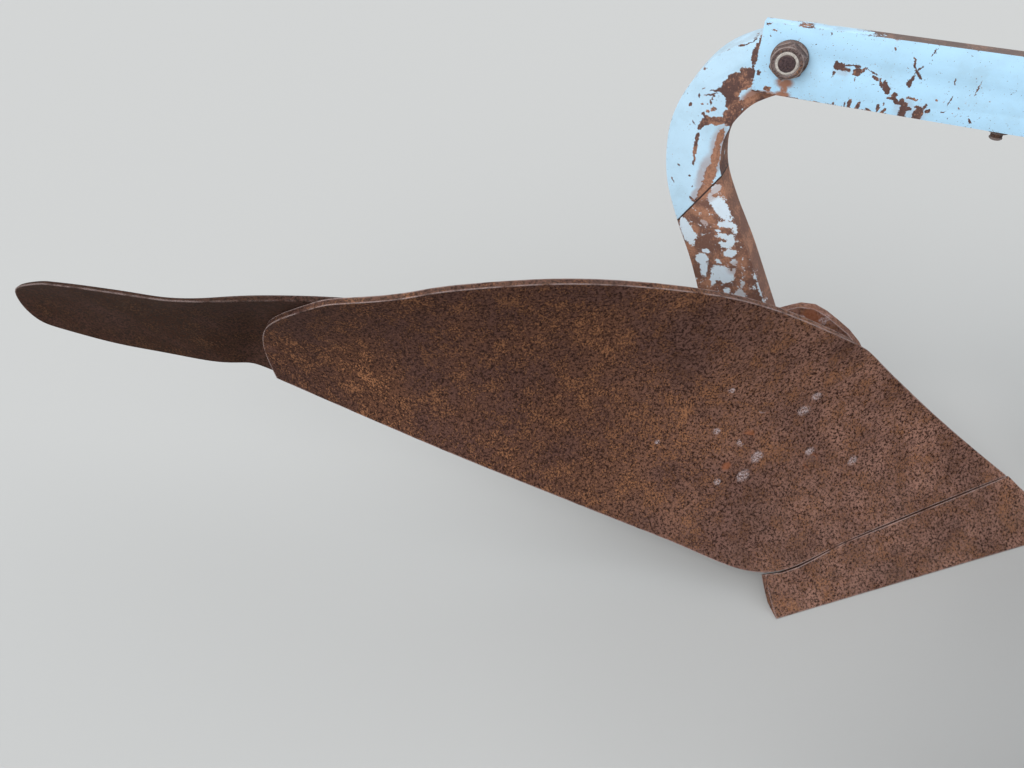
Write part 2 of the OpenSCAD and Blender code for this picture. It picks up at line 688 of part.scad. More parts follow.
module left_shaft_clamp() { in_place() shaft_clamp(0); }
module right_shaft_clamp() { in_place() shaft_clamp(2 * hitch_y); }

rear_beam();
front_beam();
rear_leg();
front_leg();
rear_leg_bolt();
front_leg_bolt();
rear_shear_bolt();
front_shear_bolt();
rear_pitch_screw();
front_pitch_screw();
rear_frog();
front_frog();
rear_landside();
front_landside();
rear_share();
front_share();
rear_moldboard();
front_moldboard();
rear_tail_piece();
front_tail_piece();
rear_stay();
front_stay();
rear_coulter_clamp();
front_coulter_clamp();
rear_coulter_stalk();
front_coulter_stalk();
rear_coulter_fork();
front_coulter_fork();
rear_coulter_disc();
front_coulter_disc();
beam_spacer();
beam_brace();
headstock_tube();
left_mast_plate();
right_mast_plate();
left_mast_stay();
right_mast_stay();
left_shaft_clamp();
right_shaft_clamp();
cross_shaft();
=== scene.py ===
"""Looks of a two-furrow moldboard plough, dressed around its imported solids.

The plough has stood outside for years. Its beams and swan-neck legs carry a
pale blue paint that flakes off over brown rust, and its moldboards, shares
and tail pieces are bare steel under an even dark rust. All lengths are in
metres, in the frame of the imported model: +X forward, +Y to the land side.
"""

from __future__ import annotations

import json
import logging
import math
from collections.abc import Callable, Iterator
from contextlib import contextmanager
from dataclasses import dataclass
from enum import Enum

import bpy
from mathutils import Matrix, Vector

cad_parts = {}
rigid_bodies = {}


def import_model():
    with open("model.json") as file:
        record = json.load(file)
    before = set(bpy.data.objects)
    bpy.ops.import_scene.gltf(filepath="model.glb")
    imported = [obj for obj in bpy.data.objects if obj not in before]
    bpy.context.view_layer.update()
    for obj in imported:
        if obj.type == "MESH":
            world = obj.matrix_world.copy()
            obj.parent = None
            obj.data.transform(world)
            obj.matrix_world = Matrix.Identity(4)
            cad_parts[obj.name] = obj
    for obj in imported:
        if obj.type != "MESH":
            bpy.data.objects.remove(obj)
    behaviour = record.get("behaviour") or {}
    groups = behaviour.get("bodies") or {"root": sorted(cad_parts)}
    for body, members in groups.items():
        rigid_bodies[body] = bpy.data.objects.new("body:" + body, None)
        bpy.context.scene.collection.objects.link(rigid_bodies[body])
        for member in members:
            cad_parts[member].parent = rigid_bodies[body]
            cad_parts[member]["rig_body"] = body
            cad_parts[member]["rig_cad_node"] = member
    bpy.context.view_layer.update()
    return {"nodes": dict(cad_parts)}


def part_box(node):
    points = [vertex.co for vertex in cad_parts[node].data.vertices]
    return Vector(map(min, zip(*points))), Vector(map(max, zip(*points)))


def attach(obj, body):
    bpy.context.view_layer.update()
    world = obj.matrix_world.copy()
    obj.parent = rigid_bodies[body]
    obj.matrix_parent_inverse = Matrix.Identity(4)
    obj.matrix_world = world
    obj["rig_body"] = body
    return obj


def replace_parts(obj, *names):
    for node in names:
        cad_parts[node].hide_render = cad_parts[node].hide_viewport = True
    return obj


LOG = logging.getLogger("plough")
MM = 0.001
FRAME = "frame"

# Places that several sub-assemblies share, in millimetres on a plough body.
BEAM_MIDDLE = 650.0
BEAM_FURROW_FACE = -47.0
BEAM_LAND_FACE = -35.0

# How deep the marks reach into a plate and into a curved one, in millimetres, and the room that a round
# mark's soft rim takes.
SPOT_DEPTH = 22.0
BLOOM_DEPTH = 18.0
SOFT_RIM = 1.35

TO_LAND = Vector((0, 1, 0))
TO_FURROW = Vector((0, -1, 0))
UP = Vector((0, 0, 1))
DOWN = Vector((0, 0, -1))

Colour = tuple[float, float, float]
Place = tuple[float, float, float]
Pair = tuple[float, float]
Triple = tuple[float, float, float]
Piece = bpy.types.Object
Socket = bpy.types.NodeSocket
Mask = Socket | float


def srgb(red: int, green: int, blue: int) -> Colour:
    """Turn a colour as seen on screen into the linear colour a shader takes.

    Args:
        red: Red, 0 to 255.
        green: Green, 0 to 255.
        blue: Blue, 0 to 255.

    Returns:
        The linear colour.
    """

    def lift(value: int) -> float:
        """Turn one channel."""
        share = value / 255
        return share / 12.92 if share <= 0.04045 else ((share + 0.055) / 1.055) ** 2.4

    return lift(red), lift(green), lift(blue)


class Graph:
    """Adds nodes to one shader tree and links them."""

    def __init__(self, tree: bpy.types.NodeTree) -> None:
        """Start on the node tree of a material or of a group."""
        self.tree = tree
        self.place: Socket | None = None

    def node(self, kind: str, inputs: dict | None = None, **settings: object) -> bpy.types.Node:
        """Add one node.

        Args:
            kind: Blender's name of the node type.
            inputs: Socket name or number, with the value or the socket that feeds it.
            settings: Properties of the node.

        Returns:
            The new node.
        """
        made = self.tree.nodes.new(kind)
        for name, value in settings.items():
            setattr(made, name, value)
        for name, value in (inputs or {}).items():
            self.feed(made.inputs[name], value)
        return made

    def feed(self, socket: Socket, value: object) -> None:
        """Set a socket, or link another socket to it.

        Args:
            socket: The socket to feed.
            value: A number, a colour, a vector or another socket.
        """
        if isinstance(value, Socket):
            self.tree.links.new(value, socket)
        elif socket.type == "RGBA" and len(value) == 3:
            socket.default_value = (*value, 1.0)
        else:
            socket.default_value = value

    def group(self, tree: bpy.types.NodeTree, **inputs: object) -> bpy.types.NodeOutputs:
        """Place a shared effect.

        Args:
            tree: The effect's node group.
            inputs: What feeds its sockets, by name, with underscores for spaces.

        Returns:
            The effect's outputs.
        """
        made = self.node("ShaderNodeGroup", node_tree=tree)
        for name, value in inputs.items():
            self.feed(made.inputs[name.replace("_", " ")], value)
        return made.outputs

    def object_place(self) -> Socket:
        """Return the place on the object, in metres."""
        if self.place is None:
            self.place = self.node("ShaderNodeTexCoord").outputs["Object"]
        return self.place

    def along(self, axis: str) -> Socket:
        """Return the place on the object along one of its axes."""
        return self.node("ShaderNodeSeparateXYZ", {0: self.object_place()}).outputs[axis]

    def facing(self, axis: str) -> Socket:
        """Return how far the surface faces along one of the object's axes."""
        normal = self.node("ShaderNodeTexCoord").outputs["Normal"]
        return self.node("ShaderNodeSeparateXYZ", {0: normal}).outputs[axis]

    def vectors(self, operation: str, *values: object) -> bpy.types.NodeOutputs:
        """Work out one sum on places or directions, by Blender's name of the operation."""
        return self.node("ShaderNodeVectorMath", dict(enumerate(values)), operation=operation).outputs

    def ragged_place(self, scale: float, reach: float) -> Socket:
        """Return the place on the object, shifted here and there so that marks get ragged.

        Args:
            scale: Shifts to the metre.
            reach: The widest shift, in metres.

        Returns:
            The shifted place.
        """
        jitter = self.node("ShaderNodeTexNoise", {
            "Vector": self.object_place(), "Scale": scale, "Detail": 6.0, "Roughness": 0.70})
        shift = self.vectors("SUBTRACT", jitter.outputs["Color"], (0.5, 0.5, 0.5))[0]
        return self.vectors("MULTIPLY_ADD", shift, (reach, reach, reach), self.object_place())[0]

    def maths(self, operation: str, first: object, second: object = 0.0) -> Socket:
        """Work out one sum on numbers, by Blender's name of the operation."""
        return self.node("ShaderNodeMath", {0: first, 1: second}, operation=operation).outputs[0]

    def times(self, first: object, second: object) -> Socket:
        """Multiply two values."""
        return self.maths("MULTIPLY", first, second)

    def plus(self, first: object, second: object) -> Socket:
        """Add two values."""
        return self.maths("ADD", first, second)

    def less(self, first: object, second: object) -> Socket:
        """Take the second value away from the first."""
        return self.maths("SUBTRACT", first, second)

    def most(self, first: object, second: object) -> Socket:
        """Keep the larger of two values."""
        return self.maths("MAXIMUM", first, second)

    def plus_share(self, first: object, second: object, share: object) -> Socket:
        """Add a share of the second value to the first."""
        return self.plus(first, self.times(second, share))

    def fade(self, value: object, low: float, high: float, top: float = 1.0) -> Socket:
        """Turn a value into a soft step.

        Args:
            value: The value to judge.
            low: Where the step begins.
            high: Where it ends.
            top: The step's height.

        Returns:
            0 below low, top above high, and a smooth rise between them.
        """
        made = self.node("ShaderNodeMapRange", {
            "Value": value, "From Min": low, "From Max": high, "To Max": top})
        made.interpolation_type = "SMOOTHSTEP"
        return made.outputs["Result"]

    def spread(self, value: object, start: float, end: float, low: float, high: float) -> Socket:
        """Stretch the range from start to end onto the one from low to high."""
        return self.node("ShaderNodeMapRange", {
            "Value": value, "From Min": start, "From Max": end, "To Min": low, "To Max": high}).outputs[0]

    def blend(self, share: object, first: object, second: object) -> Socket:
        """Mix two colours.

        Args:
            share: How much of the second colour shows.
            first: The colour below.
            second: The colour on top.

        Returns:
            The mixed colour.
        """
        made = self.node("ShaderNodeMix", data_type="RGBA")
        self.feed(made.inputs[0], share)
        self.feed(made.inputs[6], first)
        self.feed(made.inputs[7], second)
        return made.outputs[2]

    def tint(self, mask: object, share: float, first: object, second: object) -> Socket:
        """Mix two colours by a share of a mask."""
        return self.blend(self.times(mask, share), first, second)

    def bump(self, height: object, depth: float, strength: float = 0.8) -> Socket:
        """Turn a height into relief of a depth in metres."""
        return self.node("ShaderNodeBump", {
            "Height": height, "Distance": depth, "Strength": strength}).outputs[0]

    def noise(self, scale: object, detail: float = 3.0, rough: float = 0.55,
              stretch: Triple | None = None) -> Socket:
        """Add a cloudy pattern.

        Args:
            scale: Features to the metre.
            detail: Number of finer layers.
            rough: Strength of the finer layers.
            stretch: Shares by which the pattern is squeezed along X, Y and Z.

        Returns:
            A value about 0.5.
        """
        where = self.object_place()
        if stretch is not None:
            where = self.node("ShaderNodeMapping", {"Vector": where, "Scale": stretch}).outputs[0]
        return self.node("ShaderNodeTexNoise", {
            "Vector": where, "Scale": scale, "Detail": detail, "Roughness": rough}).outputs["Fac"]


class Effects:
    """The shader node groups that several finishes share."""

    def __init__(self) -> None:
        """Build each shared effect once."""
        self.spot = self._spot()
        self.edges = self._edges()
        self.rust = self._rust()
        self.dust = self._dust()

    @staticmethod
    def _start(name: str, inputs: dict[str, object],
               outputs: tuple[str, ...]) -> tuple[Graph, bpy.types.NodeOutputs, bpy.types.NodeInputs]:
        """Make an empty group.

        Args:
            name: The group's name.
            inputs: Socket name, with its default: a number, or three for a vector.
            outputs: Names of the outputs, which are all numbers.

        Returns:
            The group's graph, what is given to it, and what it makes.
        """
        tree = bpy.data.node_groups.new(name, "ShaderNodeTree")
        for title, default in inputs.items():
            kind = "NodeSocketFloat" if isinstance(default, float) else "NodeSocketVector"
            made = tree.interface.new_socket(title, in_out="INPUT", socket_type=kind)
            made.default_value = default
        for title in outputs:
            tree.interface.new_socket(title, in_out="OUTPUT", socket_type="NodeSocketFloat")
        graph = Graph(tree)
        return graph, graph.node("NodeGroupInput").outputs, graph.node("NodeGroupOutput").inputs

    def _spot(self) -> bpy.types.NodeTree:
        """Build a soft oval mark at one place, laid over the marks below it."""
        graph, given, made = self._start("oval_spot", {
            "Below": 0.0, "Place": (0, 0, 0), "Centre": (0, 0, 0), "Half size": (1, 1, 1),
            "Turn": (0, 0, 0), "Strength": 1.0}, ("Mark",))
        where = graph.node("ShaderNodeMapping", {
            "Vector": given["Place"], "Location": given["Centre"], "Rotation": given["Turn"],
            "Scale": given["Half size"]}, vector_type="TEXTURE").outputs[0]
        reach = graph.vectors("LENGTH", where)["Value"]
        mark = graph.times(graph.fade(reach, 1.40, 0.60), given["Strength"])
        graph.feed(made["Mark"], graph.most(mark, given["Below"]))
        return graph.tree

    def _edges(self) -> bpy.types.NodeTree:
        """Build a mask that finds the edges of a piece."""
        graph, given, made = self._start("edge_wear", {"Radius": 0.003}, ("Edge",))
        rounded = graph.node("ShaderNodeBevel", {"Radius": given["Radius"]}, samples=6).outputs[0]
        flat = graph.node("ShaderNodeNewGeometry").outputs["Normal"]
        same = graph.vectors("DOT_PRODUCT", rounded, flat)["Value"]
        graph.feed(made["Edge"], graph.fade(same, 0.995, 0.90))
        return graph.tree

    def _rust(self) -> bpy.types.NodeTree:
        """Build the mottling of rusted steel, from broad clouds down to its grain."""
        graph, given, made = self._start(
            "rust_mottle", {"Fleck size": 0.003}, ("Clouds", "Patches", "Flecks", "Specks", "Grain"))
        scale = graph.maths("DIVIDE", 1.0, given["Fleck size"])
        flecks = graph.noise(scale, 5.0, 0.8)
        specks = graph.noise(graph.times(scale, 1.15), 4.0, 0.75, stretch=(1.3, 1.3, 1.0))
        patches = graph.noise(38.0, 4.0, 0.6)
        crowded = graph.times(graph.less(patches, 0.5), 0.5)
        graph.feed(made["Clouds"], graph.noise(8.0, 4.0, 0.6))
        graph.feed(made["Patches"], patches)
        graph.feed(made["Flecks"], flecks)
        graph.feed(made["Specks"], graph.fade(graph.plus(specks, crowded), 0.54, 0.61))
        graph.feed(made["Grain"], graph.noise(1300.0, 2.0, 0.6))
        return graph.tree

    def _dust(self) -> bpy.types.NodeTree:
        """Build the dust that lies on faces that look up."""
        graph, given, made = self._start("settled_dust", {"Amount": 0.4}, ("Dust",))
        lying = graph.fade(graph.facing("Z"), 0.45, 0.98)
        cloudy = graph.fade(graph.noise(22.0, 5.0, 0.65), 0.35, 0.62)
        graph.feed(made["Dust"], graph.times(graph.times(lying, cloudy), given["Amount"]))
        return graph.tree

    def marks(self, graph: Graph, origin: Vector, place: Socket,
              marks: tuple[Spot | Bloom, ...]) -> Mask:
        """Lay marks over each other.

        Args:
            graph: The material's graph.
            origin: The point that the marks are measured from.
            place: The place to read.
            marks: The marks.

        Returns:
            1 inside a mark, 0 away from all.
        """
        value: Mask = 0.0
        for mark in marks:
            value = graph.group(self.spot, Below=value, Place=place, **mark.oval(origin))[0]
            # The place goes on unchanged behind each mark, so that Blender works the marks out one by one.
            place = graph.vectors("MULTIPLY_ADD", value, (0, 0, 0), place)[0]
        return value


@dataclass(frozen=True)
class Spot:
    """One oval mark on a plate's furrow side.

    Attributes:
        ahead: Distance ahead of the rear leg bolt, in millimetres.
        above: Distance above the middle of the beam.
        half_length: Half of the mark's length.
        half_width: Half of its width.
        turn: Turn of its length up from the horizontal, in degrees.
        strength: How surely it shows, 0 to 1.
    """

    ahead: float
    above: float
    half_length: float
    half_width: float
    turn: float = 0.0
    strength: float = 1.0

    def oval(self, bolt: Vector) -> dict[str, object]:
        """Return what feeds the oval spot, measured from the leg bolt's centre."""
        return {
            "Centre": (bolt.x + self.ahead * MM, bolt.y, bolt.z + self.above * MM),
            "Half_size": (self.half_length * MM, SPOT_DEPTH * MM, self.half_width * MM),
            "Turn": (0.0, -math.radians(self.turn), 0.0), "Strength": self.strength}


@dataclass(frozen=True)
class Bloom:
    """One round growth or stain on a curved plate, in millimetres from the rear leg bolt's foot."""

    ahead: float
    aside: float
    above: float
    radius: float

    def oval(self, foot: Vector) -> dict[str, object]:
        """Return what feeds the oval spot, measured from the leg bolt's foot."""
        reach = self.radius * SOFT_RIM * MM
        return {"Centre": foot + Vector((self.ahead, self.aside, self.above)) * MM,
                "Half_size": (reach, BLOOM_DEPTH * MM, reach)}


# Among these, the long thin marks at -40 and -40.5 along the lower edge lay a dark line there: partly the
# leg arm's dark underside, which the plate hides, and partly a painted shadow of the gap under the plate's
# edge.
BEAM_CHIPS = (
    Spot(54, 4, 6, 4.5, -12), Spot(61, 1, 7, 2.2, -4), Spot(50, 7, 1.6, 3), Spot(50, -5, 1.8, 3.4),
    Spot(67, 6.5, 12, 1.1, 0, 0.85), Spot(74, 2, 5, 3.2, 0, 0.85), Spot(73, -2, 4, 1.8),
    Spot(80, 4, 1.2, 3), Spot(73, -8, 0.8, 3), Spot(88, 3, 9, 0.6, -20, 0.9), Spot(94, -3, 4.5, 1.7, -30),
    Spot(101, -8, 5.5, 1.6, -65), Spot(107, -11, 8, 3.4, -60), Spot(118, -18, 3, 2.8),
    Spot(114, -22, 4, 1.6), Spot(121, -24, 6, 2.6, -30), Spot(127, -24, 5, 3, -60), Spot(131, -33, 4.4, 9),
    Spot(134, -31, 5, 2, 20), Spot(136, -19, 7, 1.4, -6), Spot(147, -34, 5, 7.5), Spot(151, -25, 1.5, 3.4),
    Spot(155, -30, 2.4, 3, -50), Spot(143, -27, 3, 1.6), Spot(127, 18, 7.5, 0.9, -72),
    Spot(133, 9, 8, 1.3, -48), Spot(133, 12, 6, 1.2, 62), Spot(129, 1, 5.5, 2.1, 62),
    Spot(128, -4, 2.8, 3.6), Spot(75, -36, 1.7, 5), Spot(84, -36, 2.4, 5, -15), Spot(105, -35, 2, 4.4),
    Spot(112, -37, 3.6, 1.8, 60), Spot(96, -39, 3.4, 1.6), Spot(58, -38, 1.4, 2), Spot(110, -29, 0.8, 2.2),
    Spot(70, -37, 1, 3), Spot(-31, -17, 1.9, 3.4), Spot(-18, -34, 4, 3.6), Spot(-20, -40, 18, 1.7, -3),
    Spot(-22, 32, 3, 1), Spot(-26, 25, 0.9, 1), Spot(104, 31, 2.4, 0.7, -60), Spot(142, 32, 5, 0.7, 68),
    Spot(171, 5, 4, 1, -75), Spot(194, 2, 9, 0.5, 85, 0.9), Spot(173, -15, 6, 0.5, 80, 0.9),
    Spot(37, 37, 0.9, 1.6), Spot(14, -40.5, 26, 0.9, 0, 0.9), Spot(75, -40.5, 50, 0.6, 0, 0.8),
    Spot(-30, 38, 3, 1.2), Spot(10, 40, 8, 0.8), Spot(184, -21, 1.4, 0.8, -40), Spot(170, -28, 1.5, 1),
    Spot(198, -33, 3, 1, -60), Spot(160, -17, 1.2, 0.9),
)
BEAM_STAINS = (
    Spot(0, -24, 10, 6), Spot(1, -31, 4, 8), Spot(1, -38, 9, 4), Spot(-14, -40, 18, 2.6, 0, 0.8),
    Spot(58, -1, 9, 5, 0, 0.25), Spot(131, -30, 10, 10, 0, 0.25), Spot(147, -34, 9, 9, 0, 0.25),
)
LEG_CHIPS = (
    Spot(-38, 14, 6, 1.7, 85), Spot(-40.5, -4, 15, 3.4, 87), Spot(-57, 5, 3.6, 1.2, 20),
    Spot(-51, 8.5, 4, 0.9, 30), Spot(-45, 13, 4.4, 0.8, 45), Spot(-46, -26, 11, 8, 25),
    Spot(-57, -33, 13, 6.5, 25), Spot(-60, -43, 13, 11, 30), Spot(-46, -36, 9, 9, 60),
    Spot(-62, -52, 12, 7, 0), Spot(-57, -62, 9, 12), Spot(-53, -70, 9, 12, -20), Spot(-57, -84, 9, 13, 20),
    Spot(-72, -90, 14, 5.5, 8), Spot(-85, -93, 9, 5, 30), Spot(-74, -50, 9, 2.4, 25),
    Spot(-84, -57.5, 9, 1.2, 18), Spot(-80, -52, 8, 1, 12, 0.9), Spot(-81, -61, 2.4, 3.6),
    Spot(-83, -68, 1.6, 4), Spot(-78, -76, 4, 3, 30), Spot(-85, -80, 2.2, 2), Spot(-90, -84, 2.2, 2.2),
    Spot(-84, -88, 6, 2.6, -20), Spot(-97, -28, 1.6, 1.5), Spot(-108, -75, 2, 2.2),
    Spot(-94, -71, 1.4, 1.2), Spot(-87, -71, 0.9, 1.1), Spot(-99, -62, 0.9, 3),
    Spot(-94, -52, 2.2, 0.8, 30), Spot(-101, -98, 4, 0.7, -55), Spot(-91, -101, 6, 3, 60),
    Spot(-93.5, -116, 6.5, 2.2, 86), Spot(-94, -133, 13, 2.8, 90), Spot(-93, -150, 7, 1.6, 84),
    Spot(-65, -112, 15, 4.5, 80), Spot(-66, -138, 18, 5.5, 86), Spot(-69, -165, 20, 7.5, 80),
    Spot(-72, -190, 16, 8, 66), Spot(-88, -207, 5.5, 1.8, -35), Spot(-80, -206, 6, 4, 40),
    Spot(-55, -155, 14, 2, -70), Spot(-50, -178, 14, 3, -62), Spot(-113, -160, 2.6, 1.6, -30),
    Spot(-12, -45, 15, 4.5, -4), Spot(-30, -52, 10, 3.6, 38), Spot(-42, -62, 9, 4, 55),
    Spot(-48, -80, 4, 12, -8), Spot(-20, -51, 12, 5, 35), Spot(-30, -60, 11, 5, 46),
    Spot(-38, -69, 10, 5, 56), Spot(-44, -79, 5, 10, -10), Spot(-96, -173, 1.7, 1.8),
    Spot(-118, -184, 5, 1, -62), Spot(-91, -188, 1.1, 1.6),
)
LEG_ISLANDS = (
    Spot(-89, -259, 22, 7.5, -62), Spot(-79, -264, 6, 6), Spot(-47, -211, 18, 9, -48),
    Spot(-59, -184, 8, 5, 52), Spot(-64, -199, 9, 3, -78), Spot(-34, -234, 12, 4.4, 4),
    Spot(-43, -237, 4.4, 3), Spot(-23, -241, 3, 5), Spot(-46, -247, 3, 2), Spot(-36, -254, 7, 4),
    Spot(-26, -259, 5, 9.5, 8), Spot(-33, -268, 7.5, 3.2, -15), Spot(-23, -279, 8.5, 5.4, 30),
    Spot(-15, -292, 4.6, 4.6), Spot(-61, -298, 9, 7.5, 20), Spot(-56, -314, 13, 5, -80),
    Spot(-57, -284, 5, 3.4), Spot(-37, -297, 4.4, 3), Spot(-27, -317, 16, 12, -18),
    Spot(-40, -331, 4, 9.5, 10), Spot(3, -327, 2.6, 6), Spot(2, -346, 7, 8.5), Spot(-17, -343, 4.4, 4.4),
    Spot(-13, -306, 2.4, 4), Spot(-66, -239, 5, 2.6, -20), Spot(-74, -66, 8, 6.5), Spot(-75, -81, 8, 4, 22),
    Spot(19, -304, 2.6, 14, 23), Spot(29, -327, 3, 15, 23), Spot(39, -348, 2.6, 12, 24),
)
LEG_STAINS = (
    Spot(-34, -50, 16, 7, 38, 0.95), Spot(-66, -120, 26, 9, 82, 0.5), Spot(-76, -165, 30, 10, 80, 0.55),
    Spot(-82, -198, 14, 7, 70, 0.55), Spot(-61, -145, 16, 4, 86, 0.5), Spot(-60, -190, 22, 7, 60, 0.5),
    Spot(-64, -239, 12, 6, 0, 0.7), Spot(-12, -300, 14, 10, 60, 0.5), Spot(4, -335, 16, 10, 70, 0.4),
)
LEG_ORANGE = (
    Spot(-14, -46, 16, 4, 0, 0.7), Spot(-34, -54, 12, 4, 42, 0.9), Spot(-66, -112, 16, 6, 80),
    Spot(-66, -140, 20, 7, 86), Spot(-69, -168, 22, 8, 80), Spot(-72, -192, 15, 8, 66),
    Spot(-74, -224, 16, 8, 0), Spot(-62, -234, 10, 6), Spot(-78, -255, 6, 10, 20),
    Spot(-80, -284, 9, 5, -30), Spot(-70, -95, 12, 4), Spot(-51, -52, 5, 3), Spot(-46, -240, 8, 5),
    Spot(-5, -290, 8, 12), Spot(-44, -335, 6, 10),
)
BLOOMS = (
    Bloom(145, -130, 240, 4), Bloom(135, -140, 220, 5), Bloom(85, -175, 235, 3.6), Bloom(35, -220, 215, 3),
    Bloom(70, -210, 195, 4), Bloom(95, -205, 170, 5), Bloom(160, -155, 160, 3.6), Bloom(220, -120, 135, 4),
    Bloom(85, -230, 150, 5), Bloom(55, -250, 145, 3), Bloom(-35, -260, 200, 2.2), Bloom(40, -200, 275, 2.6),
)
FROG_FLAKES = (Bloom(122, -47, 306, 4), Bloom(125, -47, 311, 3), Bloom(95, -47, 304, 2))
FROG_EMBERS = (Bloom(104, -47, 310, 8), Bloom(113, -47, 306, 7))
EMBERS = (Bloom(75, -200, 200, 6), Bloom(165, -160, 147, 6), Bloom(60, -230, 165, 4))


@dataclass
class Loss:
    """Masks of where the paint has gone.

    Attributes:
        gone: Everywhere that the marks and the bare faces reach.
        upward: The bare faces that look up.
        below: The part below the seam.
        line: The seam itself.
    """

    gone: Mask
    upward: Mask = 0.0
    below: Mask = 0.0
    line: Mask = 0.0


@dataclass(frozen=True)
class Paint:
    """Pale paint that flakes off over rust.

    Attributes:
        name: The material's name.
        coat: The paint's colour.
        grime: The colour of old dirt in the paint.
        primer: The whiter coat below the seam.
        halo: The paint's colour where rust creeps under its edge.
        run: The colour of rust that has run over it.
        dust: The colour of settled dust.
        dark_rust: Rust where the paint has long gone.
        orange_rust: Fresh rust around a chip.
        deep_rust: The darkest places in the rust.
        top_metal: Bare metal on the faces that look up.
        weld: The dark line along the seam, which stands for a twig lying across the leg with its cast
            shadow: partly painted shadow.
        wear: How much paint has gone all over, 0 to 1.
        patchy: How far the loss gathers in patches.
        chips: Places where the paint has gone.
        islands: Places inside them where it has stayed.
        stains: Places where rust has run over it.
        orange: Places where the bare rust is orange.
        seam: Two points of the dark line below which most paint has gone, as ahead and above.
        seam_reach: How far above the seam's first point that loss fades out and ends, in metres.
        bare_sides: How surely the narrow faces that look ahead or down have lost their paint.
        bare_top: How surely the faces that look up have lost it.
        bare_ahead: Ahead of the rear leg bolt, in metres, where those begin to have lost it.
        chip_scale: Chips to the metre.
        speck_scale: Specks to the metre.
        cluster_scale: Clusters of chips to the metre.
        dirt_scale: Clouds of dirt to the metre.
        chip_pull: How strongly the chips' pattern takes the paint off.
        speck_pull: How strongly the specks do.
        edge_pull: How strongly the edges do.
        flaked: How worn the coat is where it begins to go, and where it has gone.
        freckled: The same for single specks.
        thickness: Thickness that the coat shows, in metres.
    """

    name: str
    coat: Colour = srgb(181, 222, 248)
    grime: Colour = srgb(158, 186, 200)
    primer: Colour = srgb(244, 244, 246)
    halo: Colour = srgb(190, 158, 134)
    run: Colour = srgb(158, 112, 90)
    dust: Colour = srgb(122, 108, 98)
    dark_rust: Colour = srgb(98, 70, 64)
    orange_rust: Colour = srgb(184, 132, 104)
    deep_rust: Colour = srgb(66, 46, 42)
    top_metal: Colour = srgb(104, 94, 90)
    weld: Colour = srgb(52, 38, 36)
    wear: float = 0.12
    patchy: float = 0.18
    chips: tuple[Spot, ...] = ()
    islands: tuple[Spot, ...] = ()
    stains: tuple[Spot, ...] = ()
    orange: tuple[Spot, ...] = ()
    seam: tuple[float, float, float, float] | None = None
    seam_reach: Pair = (0.115, 0.105)
    bare_sides: float = 0.0
    bare_top: float = 0.0
    bare_ahead: float = -10.0
    chip_scale: float = 95.0
    speck_scale: float = 460.0
    cluster_scale: float = 9.0
    dirt_scale: float = 26.0
    chip_pull: float = 1.8
    speck_pull: float = 0.85
    edge_pull: float = 0.30
    flaked: Pair = (0.50, 0.53)
    freckled: Pair = (0.680, 0.695)
    thickness: float = 0.0005

    def below_seam(self, graph: Graph, bolt: Vector) -> tuple[Socket, Socket]:
        """Find the side of the seam, and the seam itself.

        Args:
            graph: The material's graph.
            bolt: Centre of the rear leg bolt on the painted face.

        Returns:
            A mask of what lies below the seam, and one of its line.
        """
        ahead, above, ahead_end, above_end = self.seam
        along = Vector((ahead_end - ahead, 0.0, above_end - above)).normalized()
        start = Vector((bolt.x + ahead * MM, bolt.y, bolt.z + above * MM))
        from_start = graph.vectors("SUBTRACT", graph.object_place(), start)[0]
        away = graph.vectors("DOT_PRODUCT", from_start, Vector((along.z, 0.0, -along.x)))["Value"]
        wavy = graph.plus_share(away, graph.noise(120.0, 2.0), 0.001)
        line = graph.fade(graph.maths("ABSOLUTE", wavy), 0.0016, 0.0007)
        high, low = self.seam_reach
        neck = graph.fade(graph.along("Z"), start.z + high, start.z + low)
        return graph.times(graph.fade(wavy, 0.0, 0.0012), neck), graph.times(line, neck)

    def loss(self, graph: Graph, effects: Effects, bolt: Vector, ragged: Socket) -> Loss:
        """Find where the paint has gone for good.

        Args:
            graph: The material's graph.
            effects: The shared effects.
            bolt: Centre of the rear leg bolt on the painted face.
            ragged: The place at which ragged marks are read.

        Returns:
            The masks.
        """
        lost = Loss(effects.marks(graph, bolt, ragged, self.chips))
        if self.seam is not None:
            lost.below, lost.line = self.below_seam(graph, bolt)
            lost.gone = graph.most(lost.gone, graph.times(lost.below, 0.72))
            lost.gone = graph.most(lost.gone, lost.line)
        if self.islands:
            kept = effects.marks(graph, bolt, graph.ragged_place(240.0, 0.013), self.islands)
            lost.gone = graph.less(lost.gone, graph.times(kept, 0.78))
        if self.bare_sides:
            narrow = graph.fade(graph.maths("ABSOLUTE", graph.facing("Y")), 0.75, 0.40, self.bare_sides)
            inner = graph.less(graph.facing("X"), graph.facing("Z"))
            lost.gone = graph.plus_share(lost.gone, narrow, graph.fade(inner, 0.05, 0.45))
        if self.bare_top:
            start = bolt.x + self.bare_ahead
            lost.upward = graph.times(graph.fade(graph.facing("Z"), 0.60, 0.90, self.bare_top),
                                      graph.fade(graph.along("X"), start, start + 0.05))
            lost.gone = graph.plus(lost.gone, lost.upward)
        return lost

